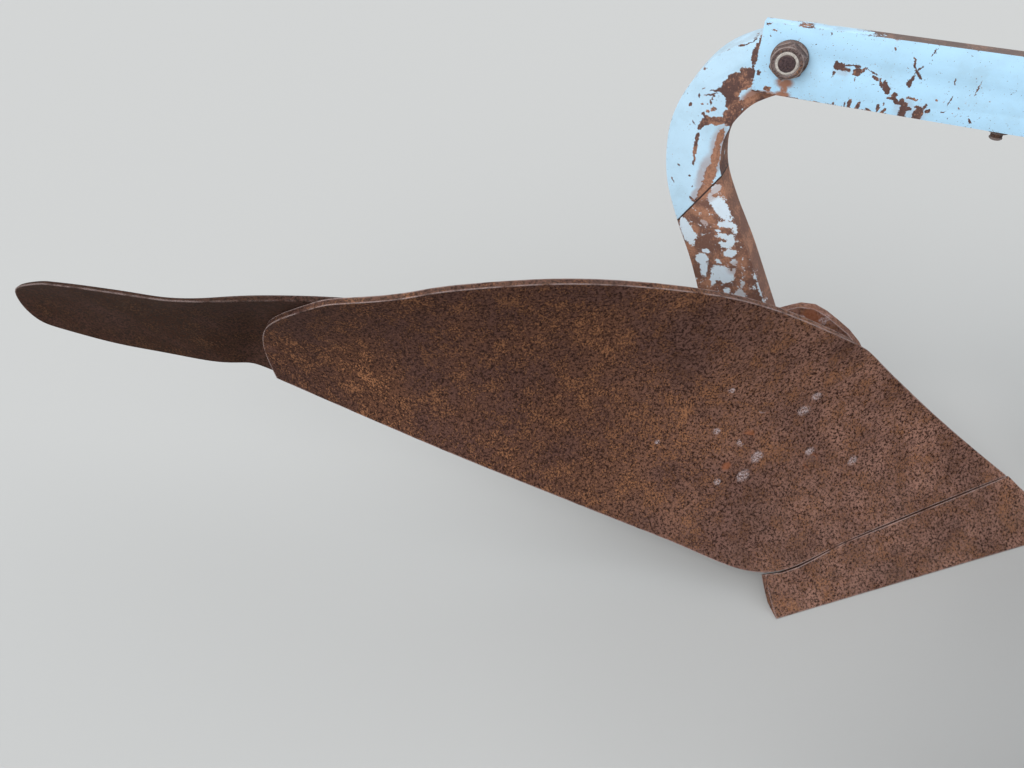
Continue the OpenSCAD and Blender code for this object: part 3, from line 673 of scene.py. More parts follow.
    def build(self, effects: Effects, bolt: Vector) -> bpy.types.Material:
        """Make the material.

        Args:
            effects: The shared effects.
            bolt: Centre of the rear leg bolt on the painted face.

        Returns:
            The finished material.
        """
        material, graph, shader = new_material(self.name)
        ragged = graph.ragged_place(170.0, 0.0085)
        lost = self.loss(graph, effects, bolt, ragged)
        chips = graph.noise(self.chip_scale, 6.0, 0.64)
        specks = graph.noise(self.speck_scale, 3.0, 0.65)
        clusters = graph.fade(graph.noise(self.cluster_scale, 4.0, 0.62), 0.50, 0.68)
        edge = graph.group(effects.edges, Radius=0.003)[0]
        flaking = graph.plus_share(self.wear, graph.less(chips, 0.5), self.chip_pull)
        flaking = graph.plus_share(flaking, clusters, self.patchy)
        worn = graph.plus_share(graph.plus(lost.gone, flaking), edge, self.edge_pull)
        worn = graph.plus_share(worn, graph.less(specks, 0.5), self.speck_pull)
        freckles = graph.plus_share(specks, clusters, 0.05)
        bare = graph.most(graph.fade(worn, *self.flaked), graph.fade(freckles, *self.freckled))
        mottle = graph.group(effects.rust, Fleck_size=0.0035)
        rusty = graph.fade(mottle["Patches"], 0.46, 0.68, 0.55)
        if self.orange:
            rusty = graph.most(rusty, effects.marks(graph, bolt, ragged, self.orange))
        metal = graph.tint(rusty, 0.85, self.dark_rust, self.orange_rust)
        metal = graph.tint(graph.fade(mottle["Flecks"], 0.36, 0.66), 0.55, metal, self.deep_rust)
        metal = graph.tint(mottle["Specks"], 0.65, metal, self.orange_rust)
        metal = graph.tint(lost.upward, 0.6, metal, self.top_metal)
        # The dark line along the seam is a twig lying across the leg, with its painted shadow.
        metal = graph.blend(lost.line, metal, self.weld)
        dirty = graph.fade(graph.noise(self.dirt_scale, 6.0, 0.7), 0.42, 0.78, 0.42)
        coat = graph.blend(dirty, self.coat, self.grime)
        creeping = graph.times(graph.fade(worn, 0.34, 0.52, 0.40), graph.fade(mottle["Patches"], 0.4, 0.6))
        coat = graph.blend(creeping, coat, self.halo)
        if self.seam is not None:
            coat = graph.tint(lost.below, 0.48, coat, self.primer)
            metal = graph.tint(lost.below, 0.18, metal, self.orange_rust)
        if self.stains:
            run = effects.marks(graph, bolt, graph.ragged_place(60.0, 0.006), self.stains)
            coat = graph.blend(graph.times(run, graph.fade(chips, 0.22, 0.46)), coat, self.run)
        dust = graph.group(effects.dust, Amount=0.3)[0]
        colour = graph.blend(bare, coat, metal)
        graph.feed(shader.inputs["Base Color"], graph.blend(dust, colour, self.dust))
        graph.feed(shader.inputs["Roughness"], graph.spread(bare, 0.0, 1.0, 0.46, 0.88))
        height = graph.plus_share(graph.fade(flaking, 0.54, 0.48), mottle["Grain"], 0.45)
        height = graph.plus_share(height, graph.noise(170.0), 0.25)
        height = graph.less(height, graph.times(lost.line, 1.2))
        graph.feed(shader.inputs["Normal"], graph.bump(height, self.thickness))
        return material


@dataclass(frozen=True)
class RustedSteel:
    """Bare steel under an even rust.

    Attributes:
        name: The material's name.
        dark: The darkest rust.
        middle: The common rust.
        cloud: The greyer clouds in it.
        worn: The paler colour toward the share, a painted sky sheen where the board tilts up.
        painted_sheen_cloud: The clouds in that.
        speck: The brighter specks.
        edge: The colour of the edges, partly steel worn bright and partly a painted highlight along the
            rims.
        ember: The colour of the orange stains.
        bloom: The colour of the pale growths.
        dirt: The colour of settled dust.
        fleck_size: Size of a fleck, in metres.
        speck_share: How strongly the specks show.
        roughness: Roughness of the surface.
        gloss: How strongly it mirrors its surroundings.
        relief: Height of the scale, in metres.
        blooms: Pale growths.
        embers: Orange stains.
        painted_sheen_span: Ahead of the rear leg bolt, in metres, where that painted sheen starts and is
            full.
        painted_shade: How far the steel behind the painted sheen is made darker, as painted shading over
            the board's rear end.
        painted_shade_span: Ahead of the bolt, in metres, where that starts and is full.
        dust: How much dust has settled.
    """

    name: str
    dark: Colour = srgb(50, 29, 22)
    middle: Colour = srgb(98, 66, 52)
    cloud: Colour = srgb(88, 62, 56)
    worn: Colour = srgb(150, 112, 98)
    painted_sheen_cloud: Colour = srgb(86, 62, 60)
    speck: Colour = srgb(160, 112, 76)
    edge: Colour = srgb(186, 166, 162)
    ember: Colour = srgb(146, 88, 60)
    bloom: Colour = srgb(190, 174, 174)
    dirt: Colour = srgb(130, 108, 96)
    fleck_size: float = 0.0036
    speck_share: float = 0.80
    roughness: float = 0.72
    gloss: float = 0.13
    relief: float = 0.0004
    blooms: tuple[Bloom, ...] = ()
    embers: tuple[Bloom, ...] = ()
    painted_sheen_span: Pair | None = None
    painted_shade: float = 0.0
    painted_shade_span: Pair = (-0.25, -0.62)
    dust: float = 0.28

    def build(self, effects: Effects, foot: Vector) -> bpy.types.Material:
        """Make the material.

        Args:
            effects: The shared effects.
            foot: The point on the ground below the rear leg bolt, at the landside.

        Returns:
            The finished material.
        """
        material, graph, shader = new_material(self.name)
        mottle = graph.group(effects.rust, Fleck_size=self.fleck_size)
        clouds = graph.fade(mottle["Clouds"], 0.36, 0.64)
        patches = graph.fade(mottle["Patches"], 0.38, 0.64)
        middle = graph.tint(clouds, 0.5, self.middle, self.cloud)
        # Toward the share the rust is painted paler, as a sky sheen where the board tilts up.
        if self.painted_sheen_span is not None:
            ahead = graph.along("X")
            painted_sheen_share = graph.fade(ahead, foot.x + self.painted_sheen_span[0], foot.x + self.painted_sheen_span[1], 0.85)
            middle = graph.blend(painted_sheen_share, middle, self.worn)
            middle = graph.tint(clouds, 0.45, middle, self.painted_sheen_cloud)
            # Behind that, the board's rear end is painted darker, as painted shading.
            painted_shade_share = graph.fade(ahead, foot.x + self.painted_shade_span[0], foot.x + self.painted_shade_span[1], self.painted_shade)
            middle = graph.blend(painted_shade_share, middle, self.dark)
        colour = graph.blend(graph.fade(mottle["Flecks"], 0.56, 0.41), middle, self.dark)
        colour = graph.tint(patches, 0.46, colour, self.dark)
        density = graph.times(mottle["Specks"], self.speck_share)
        density = graph.times(density, graph.fade(mottle["Clouds"], 0.90, 0.20))
        colour = graph.blend(density, colour, self.speck)
        # The edges are painted paler: partly steel worn bright, partly a painted highlight.
        edge = graph.group(effects.edges, Radius=0.003)[0]
        rubbed_and_highlit = graph.times(edge, graph.fade(graph.noise(45.0), 0.30, 0.55, 0.75))
        colour = graph.blend(rubbed_and_highlit, colour, self.edge)
        if self.embers or self.blooms:
            ragged = graph.ragged_place(330.0, 0.007)
        if self.embers:
            colour = graph.tint(effects.marks(graph, foot, ragged, self.embers), 0.7, colour, self.ember)
        if self.blooms:
            grown = effects.marks(graph, foot, ragged, self.blooms)
            broken = graph.times(grown, graph.fade(graph.noise(520.0, 3.0, 0.7), 0.42, 0.60, 0.85))
            colour = graph.blend(broken, colour, self.bloom)
        dust = graph.group(effects.dust, Amount=self.dust)[0]
        graph.feed(shader.inputs["Base Color"], graph.blend(dust, colour, self.dirt))
        rough = graph.spread(mottle["Flecks"], 0.35, 0.65, self.roughness, 0.92)
        graph.feed(shader.inputs["Roughness"], rough)
        shader.inputs["Specular IOR Level"].default_value = self.gloss
        height = graph.plus_share(mottle["Flecks"], mottle["Grain"], 0.6)
        height = graph.plus_share(height, mottle["Patches"], 1.5)
        graph.feed(shader.inputs["Normal"], graph.bump(height, self.relief))
        return material


def new_material(name: str) -> tuple[bpy.types.Material, Graph, bpy.types.Node]:
    """Start a material with one shader.

    Args:
        name: The material's name.

    Returns:
        The material, its graph and its shader.
    """
    material = bpy.data.materials.new(name)
    material.use_nodes = True
    graph = Graph(material.node_tree)
    shader = material.node_tree.nodes["Principled BSDF"]
    return material, graph, shader


@dataclass(frozen=True)
class Datum:
    """The points that marks, small parts and the camera are measured from.

    Attributes:
        beam: Middle of the beam at the rear leg bolt, on the beam's furrow face.
        leg: The same point on the leg's furrow face.
        foot: The point on the ground below it, at the landside.
        pitch: Step from the rear body to the front one.
    """

    beam: Vector
    leg: Vector
    foot: Vector
    pitch: Vector

    @classmethod
    def measure(cls) -> Datum:
        """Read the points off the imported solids."""
        low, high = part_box("rear_leg_bolt")
        beam_low, beam_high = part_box("rear_beam")
        leg_low, leg_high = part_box("rear_leg")
        _, front_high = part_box("front_leg")
        ahead = (low.x + high.x) / 2
        above = (beam_low.z + beam_high.z) / 2
        return cls(
            beam=Vector((ahead, beam_low.y, above)),
            leg=Vector((ahead, leg_low.y, above)),
            foot=Vector((ahead, leg_high.y, 0.0)),
            pitch=Vector((front_high.x - leg_high.x, front_high.y - leg_high.y, 0.0)),
        )


@dataclass(frozen=True)
class Studio:
    """Camera, light and floor.

    Attributes:
        eye: Place of the camera, from the foot of the rear leg bolt.
        right: Direction of the picture's right side.
        down: Direction of the picture's lower side.
        focal: Focal length in pixels of a picture 1024 wide.
        sensor: Width of the sensor, in millimetres.
        picture: Width of the picture, in pixels.
        near: Nearest distance that the camera sees.
        sky: Strength of the light from all round.
        sky_colour: Its colour.
        backdrop: Colour of the backdrop as the camera sees it.
        lamps: Name, direction of the light, width of the lamp in degrees, and strength.
        lamp_height: Height at which the lamps stand.
        floor_radius: Radius of the floor.
        floor_colour: The floor's colour as it lights the plough.
        floor_seen: Its colour as the camera sees it.
        floor_roughness: Its roughness.
    """

    eye: Place = (0.11368, -0.95767, 1.03077)
    right: Place = (0.89686, 0.44091, -0.03521)
    down: Place = (0.29422, -0.65413, -0.69681)
    focal: float = 770.0
    sensor: float = 36.0
    picture: float = 1024.0
    near: float = 0.05
    sky: float = 0.80
    sky_colour: Colour = (0.90, 0.95, 1.0)
    backdrop: Colour = (0.80, 0.80, 0.79)
    lamps: tuple[tuple[str, Place, float, float], ...] = (
        ("key", (0.28, 0.80, -0.58), 60.0, 2.2),
        ("fill", (-0.55, -0.60, -0.60), 60.0, 0.8),
    )
    lamp_height: float = 3.0
    floor_radius: float = 60.0
    floor_colour: Colour = (0.25, 0.24, 0.22)
    floor_seen: Colour = (0.50, 0.495, 0.48)
    floor_roughness: float = 0.9

    def camera(self, foot: Vector) -> None:
        """Place the camera where the photograph was taken from.

        Args:
            foot: The point on the ground below the rear leg bolt, at the landside.
        """
        data = bpy.data.cameras.new("camera")
        data.sensor_width = self.sensor
        data.lens = self.focal * self.sensor / self.picture
        data.clip_start = self.near
        made = bpy.data.objects.new("camera", data)
        bpy.context.scene.collection.objects.link(made)
        right = Vector(self.right).normalized()
        up = -Vector(self.down).normalized()
        turn = Matrix((right, up, right.cross(up))).transposed()
        made.matrix_world = Matrix.Translation(foot + Vector(self.eye)) @ turn.to_4x4()
        bpy.context.scene.camera = made

    def light(self) -> None:
        """Light the plough softly from all round."""
        world = bpy.data.worlds.new("sky")
        bpy.context.scene.world = world
        world.use_nodes = True
        graph = Graph(world.node_tree)
        around = world.node_tree.nodes["Background"]
        graph.feed(around.inputs["Color"], self.sky_colour)
        around.inputs["Strength"].default_value = self.sky
        seen = graph.node("ShaderNodeBackground", {"Color": self.backdrop, "Strength": 1.0})
        mixed = graph.node("ShaderNodeMixShader", {
            0: self.seen_rays(graph), 1: around.outputs[0], 2: seen.outputs[0]})
        graph.feed(world.node_tree.nodes["World Output"].inputs["Surface"], mixed.outputs[0])
        for name, aim, spread, strength in self.lamps:
            lamp = bpy.data.lights.new(name, "SUN")
            lamp.angle = math.radians(spread)
            lamp.energy = strength
            made = bpy.data.objects.new(name, lamp)
            bpy.context.scene.collection.objects.link(made)
            made.location = (0.0, 0.0, self.lamp_height)
            made.rotation_mode = "QUATERNION"
            made.rotation_quaternion = Vector(aim).to_track_quat("-Z", "Y")

    @staticmethod
    def seen_rays(graph: Graph) -> Socket:
        """Return 1 for the rays that show a backdrop, straight or in a gloss."""
        rays = graph.node("ShaderNodeLightPath").outputs
        seen = graph.most(rays["Is Camera Ray"], rays["Is Glossy Ray"])
        return graph.most(seen, rays["Is Transmission Ray"])

    def floor(self) -> None:
        """Lay a plain pale floor under the plough."""
        bpy.ops.object.select_all(action="DESELECT")
        bpy.ops.mesh.primitive_circle_add(vertices=96, radius=self.floor_radius, fill_type="NGON")
        made = bpy.context.object
        made.name = "floor"
        material, graph, shader = new_material("pale_floor")
        colour = graph.blend(self.seen_rays(graph), self.floor_colour, self.floor_seen)
        graph.feed(shader.inputs["Base Color"], colour)
        shader.inputs["Roughness"].default_value = self.floor_roughness
        made.data.materials.append(material)


class Finish(Enum):
    """The finishes that a piece may have."""

    BEAM = "beam paint"
    FRONT_BEAM = "front beam paint"
    LEG = "leg paint"
    FRONT_LEG = "front leg paint"
    PAINT = "frame paint"
    BOARD = "board rust"
    TAIL = "tail rust"
    STEEL = "steel rust"
    CASTING = "casting rust"
    BOLT = "bolt rust"
    WORN = "worn bright ring"
    HEAD = "flush heads"
    DARK = "dark bolt end"


class Face(Enum):
    """How a solid's faces are rounded off."""

    PLATE = "flat faces and round bores"
    CURVED = "one smooth curved sheet"


@dataclass(frozen=True)
class BoltSize:
    """Sizes of one kind of bolt, in millimetres.

    Attributes:
        across: Width across the flats of its head and nut.
        head: Height of its head.
        nut: Height of its nut and washer together.
        thread: Diameter of its thread.
        washer: Radius of its washer.
    """

    across: float
    head: float = 0.0
    nut: float = 0.0
    thread: float = 0.0
    washer: float = 0.0


@contextmanager
def editing() -> Iterator[None]:
    """Edit the active piece, with all of its mesh selected."""
    bpy.ops.object.mode_set(mode="EDIT")
    bpy.ops.mesh.select_all(action="SELECT")
    yield
    bpy.ops.object.mode_set(mode="OBJECT")


def aimed(direction: Vector) -> Matrix:
    """Turn what points up so that it points in a direction."""
    return direction.to_track_quat("Z", "X").to_matrix().to_4x4()


class Bench:
    """Models pieces with Blender's own tools and leaves them at the origin.

    Attributes:
        thread_root: The root of a thread, as a share of its radius.
        thread_crest: The crest, as a share of the root.
        thread_pitch: The pitch, as a share of the diameter.
        finest_pitch: The finest pitch.
        drop_step: Step between a weld's drops, as a share of their radius.
        drop_flat: Thickness of a drop, as a share of its width.
        corner_turn: How far a hexagon's corners are turned off, as a share of what they stand out.
        hexagon_rim: Width of its rounded edges, as a share of its width.
        washer_share: Height of a washer, as a share of the nut and washer.
        end_share: Length of the bolt's end past the nut, as a share of its diameter.
        flush_height: Thickness of a countersunk head's face.
        flush_rise: How far that stands proud.
        flush_rim: Width of its rounded rim.
        merged: Distance within which a solid's corners are merged.
        rounded_from: Angle from which a solid's edges are rounded, in degrees.
    """

    thread_root: float = 0.90
    thread_crest: float = 1.11
    thread_pitch: float = 0.105
    finest_pitch: float = 0.0012
    drop_step: float = 0.55
    drop_flat: float = 0.62
    corner_turn: float = 1.25
    hexagon_rim: float = 0.012
    washer_share: float = 0.16
    end_share: float = 0.22
    flush_height: float = 0.0030
    flush_rise: float = 0.0005
    flush_rim: float = 0.0004
    merged: float = 0.00002
    rounded_from: float = 48.0

    def __init__(self) -> None:
        """Start with no small parts made."""
        self.stock: dict[str, Piece] = {}

    @staticmethod
    def clear() -> None:
        """Leave nothing selected."""
        bpy.ops.object.select_all(action="DESELECT")

    @staticmethod
    def choose(piece: Piece) -> None:
        """Select one piece and make it active."""
        Bench.clear()
        piece.select_set(True)
        bpy.context.view_layer.objects.active = piece

    @staticmethod
    def apply(piece: Piece, kind: str, **settings: object) -> None:
        """Add a modifier and apply it.

        Args:
            piece: The piece it works on.
            kind: Blender's name of the modifier type.
            settings: Properties of the modifier.
        """
        Bench.choose(piece)
        modifier = piece.modifiers.new(kind.lower(), kind)
        for name, value in settings.items():
            setattr(modifier, name, value)
        bpy.ops.object.modifier_apply(modifier=modifier.name)

    @staticmethod
    def bevel(piece: Piece, width: float, segments: int, degrees: float, **settings: object) -> None:
        """Round off a piece's edges, in some strips, where its faces meet at more than an angle."""
        Bench.apply(piece, "BEVEL", width=width, segments=segments, limit_method="ANGLE",
                    angle_limit=math.radians(degrees), **settings)

    @staticmethod
    def repeat(piece: Piece, count: int, step: float, **settings: object) -> None:
        """Stack copies of a piece upwards, a step apart."""
        Bench.apply(piece, "ARRAY", count=count, use_relative_offset=False, use_constant_offset=True,
                    constant_offset_displace=(0, 0, step), **settings)

    @staticmethod
    def smooth(piece: Piece, degrees: float = 32.0) -> None:
        """Shade the piece smooth where its faces meet at less than an angle."""
        Bench.choose(piece)
        bpy.ops.object.shade_smooth_by_angle(angle=math.radians(degrees))

    @staticmethod
    def drum(radius: float, height: float, sides: int, low: float = 0.0) -> Piece:
        """Add an upright drum that stands at a height.

        Args:
            radius: Its radius.
            height: Its height.
            sides: Number of its sides.
            low: Height of its lower end.

        Returns:
            The drum.
        """
        Bench.clear()
        bpy.ops.mesh.primitive_cylinder_add(vertices=sides, radius=radius, depth=height,
                                            location=(0, 0, low + height / 2))
        bpy.ops.object.transform_apply(location=True, rotation=True, scale=True)
        return bpy.context.object

    @staticmethod
    def join(name: str, parts: list[Piece]) -> Piece:
        """Join pieces into one with a name."""
        Bench.clear()
        for part in parts:
            part.select_set(True)
        bpy.context.view_layer.objects.active = parts[0]
        if len(parts) > 1:
            bpy.ops.object.join()
        made = bpy.context.view_layer.objects.active
        made.name = name
        made.data.name = name
        return made

    def hexagon(self, across: float, height: float, low: float = 0.0) -> Piece:
        """Model a hexagon whose corners are turned off at both ends.

        Args:
            across: Width across its flats.
            height: Its height.
            low: Height of its lower face.

        Returns:
            The chamfered hexagon.
        """
        corner = across / 2 / math.cos(math.pi / 6)
        prism = self.drum(corner, height, 6, low)
        turned = self.drum(corner * 1.001, height * 1.002, 64, low - height * 0.001)
        self.bevel(turned, (corner - across / 2) * self.corner_turn, 1, 60, offset_type="WIDTH")
        self.apply(prism, "BOOLEAN", operation="INTERSECT", object=turned, solver="EXACT")
        bpy.data.objects.remove(turned)
        self.bevel(prism, across * self.hexagon_rim, 2, 25)
        return prism

    def washer(self, radius: float, height: float, low: float = 0.0, soft: float = 0.25) -> Piece:
        """Model a round washer or collar, with a share of its height as the rounding of its rims."""
        made = self.drum(radius, height, 48, low)
        self.bevel(made, height * soft, 3, 60)
        return made

    def ring(self, middle: float, half: float, low: float) -> Piece:
        """Model a flattened ring.

        Args:
            middle: Radius of its middle line.
            half: Half of its width.
            low: Height of its middle.

        Returns:
            The ring.
        """
        self.clear()
        bpy.ops.mesh.primitive_torus_add(major_radius=middle, minor_radius=half, major_segments=64,
                                         minor_segments=12, location=(0, 0, low))
        made = bpy.context.object
        with editing():
            bpy.ops.transform.resize(value=(1.0, 1.0, 0.7), center_override=(0, 0, low))
        bpy.ops.object.transform_apply(location=True, rotation=True, scale=True)
        return made

    def thread(self, diameter: float, length: float, low: float) -> Piece:
        """Model a threaded end with a chamfered tip.

        Args:
            diameter: Diameter over the thread.
            length: Length of the end.
            low: Height at which it starts.

        Returns:
            The threaded end.
        """
        root = diameter / 2 * self.thread_root
        turns = max(2, round(length / max(diameter * self.thread_pitch, self.finest_pitch)))
        ridge = self.drum(root, length / turns, 32, low)
        crest = self.thread_crest
        with editing():
            bpy.ops.mesh.bisect(plane_co=(0, 0, low + length / turns / 2), plane_no=(0, 0, 1))
            bpy.ops.transform.resize(value=(crest, crest, 1.0), center_override=(0, 0, 0))
        self.repeat(ridge, turns, length / turns, use_merge_vertices=True)
        tip = self.drum(root, diameter * 0.06, 32, low + length)
        self.bevel(tip, diameter * 0.05, 2, 60)
        return self.join("thread", [ridge, tip])

    def once(self, name: str, make: Callable[[], Piece]) -> Piece:
        """Return a small part from stock, and model it first if it isn't there yet.

        Args:
            name: The part's name in stock.
            make: What models it, standing on z = 0.

        Returns:
            The stocked part, which stays out of the scene.
        """
        if name not in self.stock:
            made = make()
            made.name = name
            self.smooth(made)
            for collection in list(made.users_collection):
                collection.objects.unlink(made)
            self.stock[name] = made
        return self.stock[name]

    def nut(self, size: BoltSize) -> Piece:
        """Stock a nut on a washer, with the bolt's end in it."""
        height = size.nut * MM
        thick = height * self.washer_share
        shank = size.thread * MM
        name = f"nut_{size.across:.0f}_{size.thread:.0f}_{size.washer:.0f}"
        return self.once(name, lambda: self.join(name, [
            self.washer(size.washer * MM, thick),
            self.hexagon(size.across * MM, height - thick, thick),
            self.thread(shank, shank * self.end_share, height)]))

    def head(self, size: BoltSize) -> Piece:
        """Stock a hexagon head with its washer face."""
        height = size.head * MM
        name = f"head_{size.across:.0f}_{size.head:.0f}"
        return self.once(name, lambda: self.join(name, [
            self.washer(size.across * MM * 0.49, height * 0.14),
            self.hexagon(size.across * MM, height * 0.88, height * 0.12)]))

    def flush(self, radius: float) -> Piece:
        """Stock the face of a plough bolt's countersunk head, which ends just proud of z = 0."""
        def make() -> Piece:
            """Model it."""
            made = self.drum(radius, self.flush_height, 40, self.flush_rise - self.flush_height)
            self.bevel(made, self.flush_rim, 3, 60)
            return made

        return self.once(f"flush_{radius / MM:.0f}", make)

    def place(self, stock: Piece, at: Vector, towards: Vector, turn: float = 0.0) -> Piece:
        """Put a copy of a stocked part in the scene.

        Args:
            stock: The part, which stands on z = 0 and points up.
            at: Where it stands.
            towards: Where it points.
            turn: Its turn about itself, in degrees.

        Returns:
            The copy, with its place in its mesh.
        """
        made = stock.copy()
        made.data = stock.data.copy()
        bpy.context.scene.collection.objects.link(made)
        spin = Matrix.Rotation(math.radians(turn), 4, "Z")
        made.data.transform(Matrix.Translation(at) @ aimed(towards) @ spin)
        return made

    def weld(self, start: Vector, end: Vector, radius: float) -> Piece:
        """Model a bead of weld along a line, as a row of overlapping drops.

        Args:
            start: Where it starts.
            end: Where it ends.
            radius: Radius of the bead.

        Returns:
            The bead, with its place in its mesh.
        """
        run = end - start
        step = radius * self.drop_step
        self.clear()
        bpy.ops.mesh.primitive_uv_sphere_add(segments=10, ring_count=6, radius=radius)
        bead = bpy.context.object
        with editing():
            bpy.ops.transform.resize(value=(1.0, 1.0, self.drop_flat), center_override=(0, 0, 0))
        self.repeat(bead, max(2, int(run.length / step)), step)
        self.smooth(bead, 60.0)
        bead.data.transform(Matrix.Translation(start) @ aimed(run))
        return bead

    def rounded(self, node: Piece, name: str, face: Face, width: float) -> Piece:
        """Copy a solid and round off its edges.

        Args:
            node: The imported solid.
            name: Name of the new piece.
            face: Whether it is a plate or a curved sheet.
            width: Width of the rounding.

        Returns:
            The new piece, which replaces the solid.
        """
        made = node.copy()
        made.data = node.data.copy()
        made.name = name
        made.data.name = name
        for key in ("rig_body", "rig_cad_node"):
            if key in made:
                del made[key]
        made.parent = None
        bpy.context.scene.collection.objects.link(made)
        self.choose(made)
        with editing():
            bpy.ops.mesh.remove_doubles(threshold=self.merged)
            if face is Face.CURVED:
                bpy.ops.mesh.tris_convert_to_quads(face_threshold=math.radians(35),
                                                   shape_threshold=math.radians(50))
            else:
                bpy.ops.mesh.dissolve_limited(angle_limit=math.radians(1.0))
        self.bevel(made, width, 3, self.rounded_from, use_clamp_overlap=True, miter_outer="MITER_ARC")
        if face is Face.CURVED:
            self.apply(made, "SUBSURF", levels=2, render_levels=2)
            self.smooth(made, 40.0)
        else:
            self.apply(made, "WEIGHTED_NORMAL", keep_sharp=True)
            self.smooth(made)
        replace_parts(made, node.name)
        return made


class Side(Enum):
    """The two plough bodies."""

    REAR = "rear"
    FRONT = "front"


@dataclass
class Shop:
    """Fits small parts to the plough.

    Attributes:
        bench: Where they are modelled.
        finishes: The materials.
        datum: The points they are measured from.
        nodes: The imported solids.
    """

    bench: Bench
    finishes: dict[Finish, bpy.types.Material]
    datum: Datum
    nodes: dict[str, Piece]

    def spot(self, side: Side, ahead: float, aside: float, above: float) -> Vector:
        """Find a place on a body, in millimetres ahead of its leg bolt, landward of its landside and up."""
        step = self.datum.pitch if side is Side.FRONT else Vector((0, 0, 0))
        return self.datum.foot + step + Vector((ahead, aside, above)) * MM

    def dress(self, part: Piece, finish: Finish) -> Piece:
        """Give a part its material."""
        part.data.materials.clear()
        part.data.materials.append(self.finishes[finish])
        return part

    def put(self, stock: Piece, at: Vector, towards: Vector, finish: Finish = Finish.BOLT,
            turn: float = 0.0) -> Piece:
        """Place a copy of a stocked part and dress it, turned about itself by some degrees."""
        return self.dress(self.bench.place(stock, at, towards, turn), finish)

    def bead(self, start: Place, end: Place, radius: float = 4.0) -> Piece:
        """Lay a bead of weld between two places on the rear body, all in millimetres."""
        made = self.bench.weld(self.spot(Side.REAR, *start), self.spot(Side.REAR, *end), radius * MM)
        return self.dress(made, Finish.PAINT)

    def touch(self, names: tuple[str, ...], start: Vector, aim: Vector) -> tuple[Vector, Vector] | None:
        """Find where a straight line first meets some solids.

        Args:
            names: The solids.
            start: Where the line starts.
            aim: Its direction.

        Returns:
            The nearest place and its normal, or None.
        """
        found = []
        for name in names:
            hit, place, normal, _ = self.nodes[name].ray_cast(start, aim)
            if hit:
                found.append(((place - start).length, place.copy(), normal.copy()))
        if not found:
            return None
        _, place, normal = min(found, key=lambda item: item[0])
        return place, normal

    def finish(self, name: str, parts: list[Piece], slot: str, body: str = FRAME) -> Piece:
        """Join parts into one named piece of the plough.

        Args:
            name: The piece's name.
            parts: Its parts.
            slot: The material slot it shares; not used.
            body: The body it moves with.

        Returns:
            The piece.
        """
        made = self.bench.join(name, parts)
        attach(made, body)
        LOG.info("fitted %s, %d faces", name, len(made.data.polygons))
        return made

    def replace(self, node: str, parts: list[Piece]) -> None:
        """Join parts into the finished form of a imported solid."""
        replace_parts(self.finish(f"{node}_finished", parts, node), node)


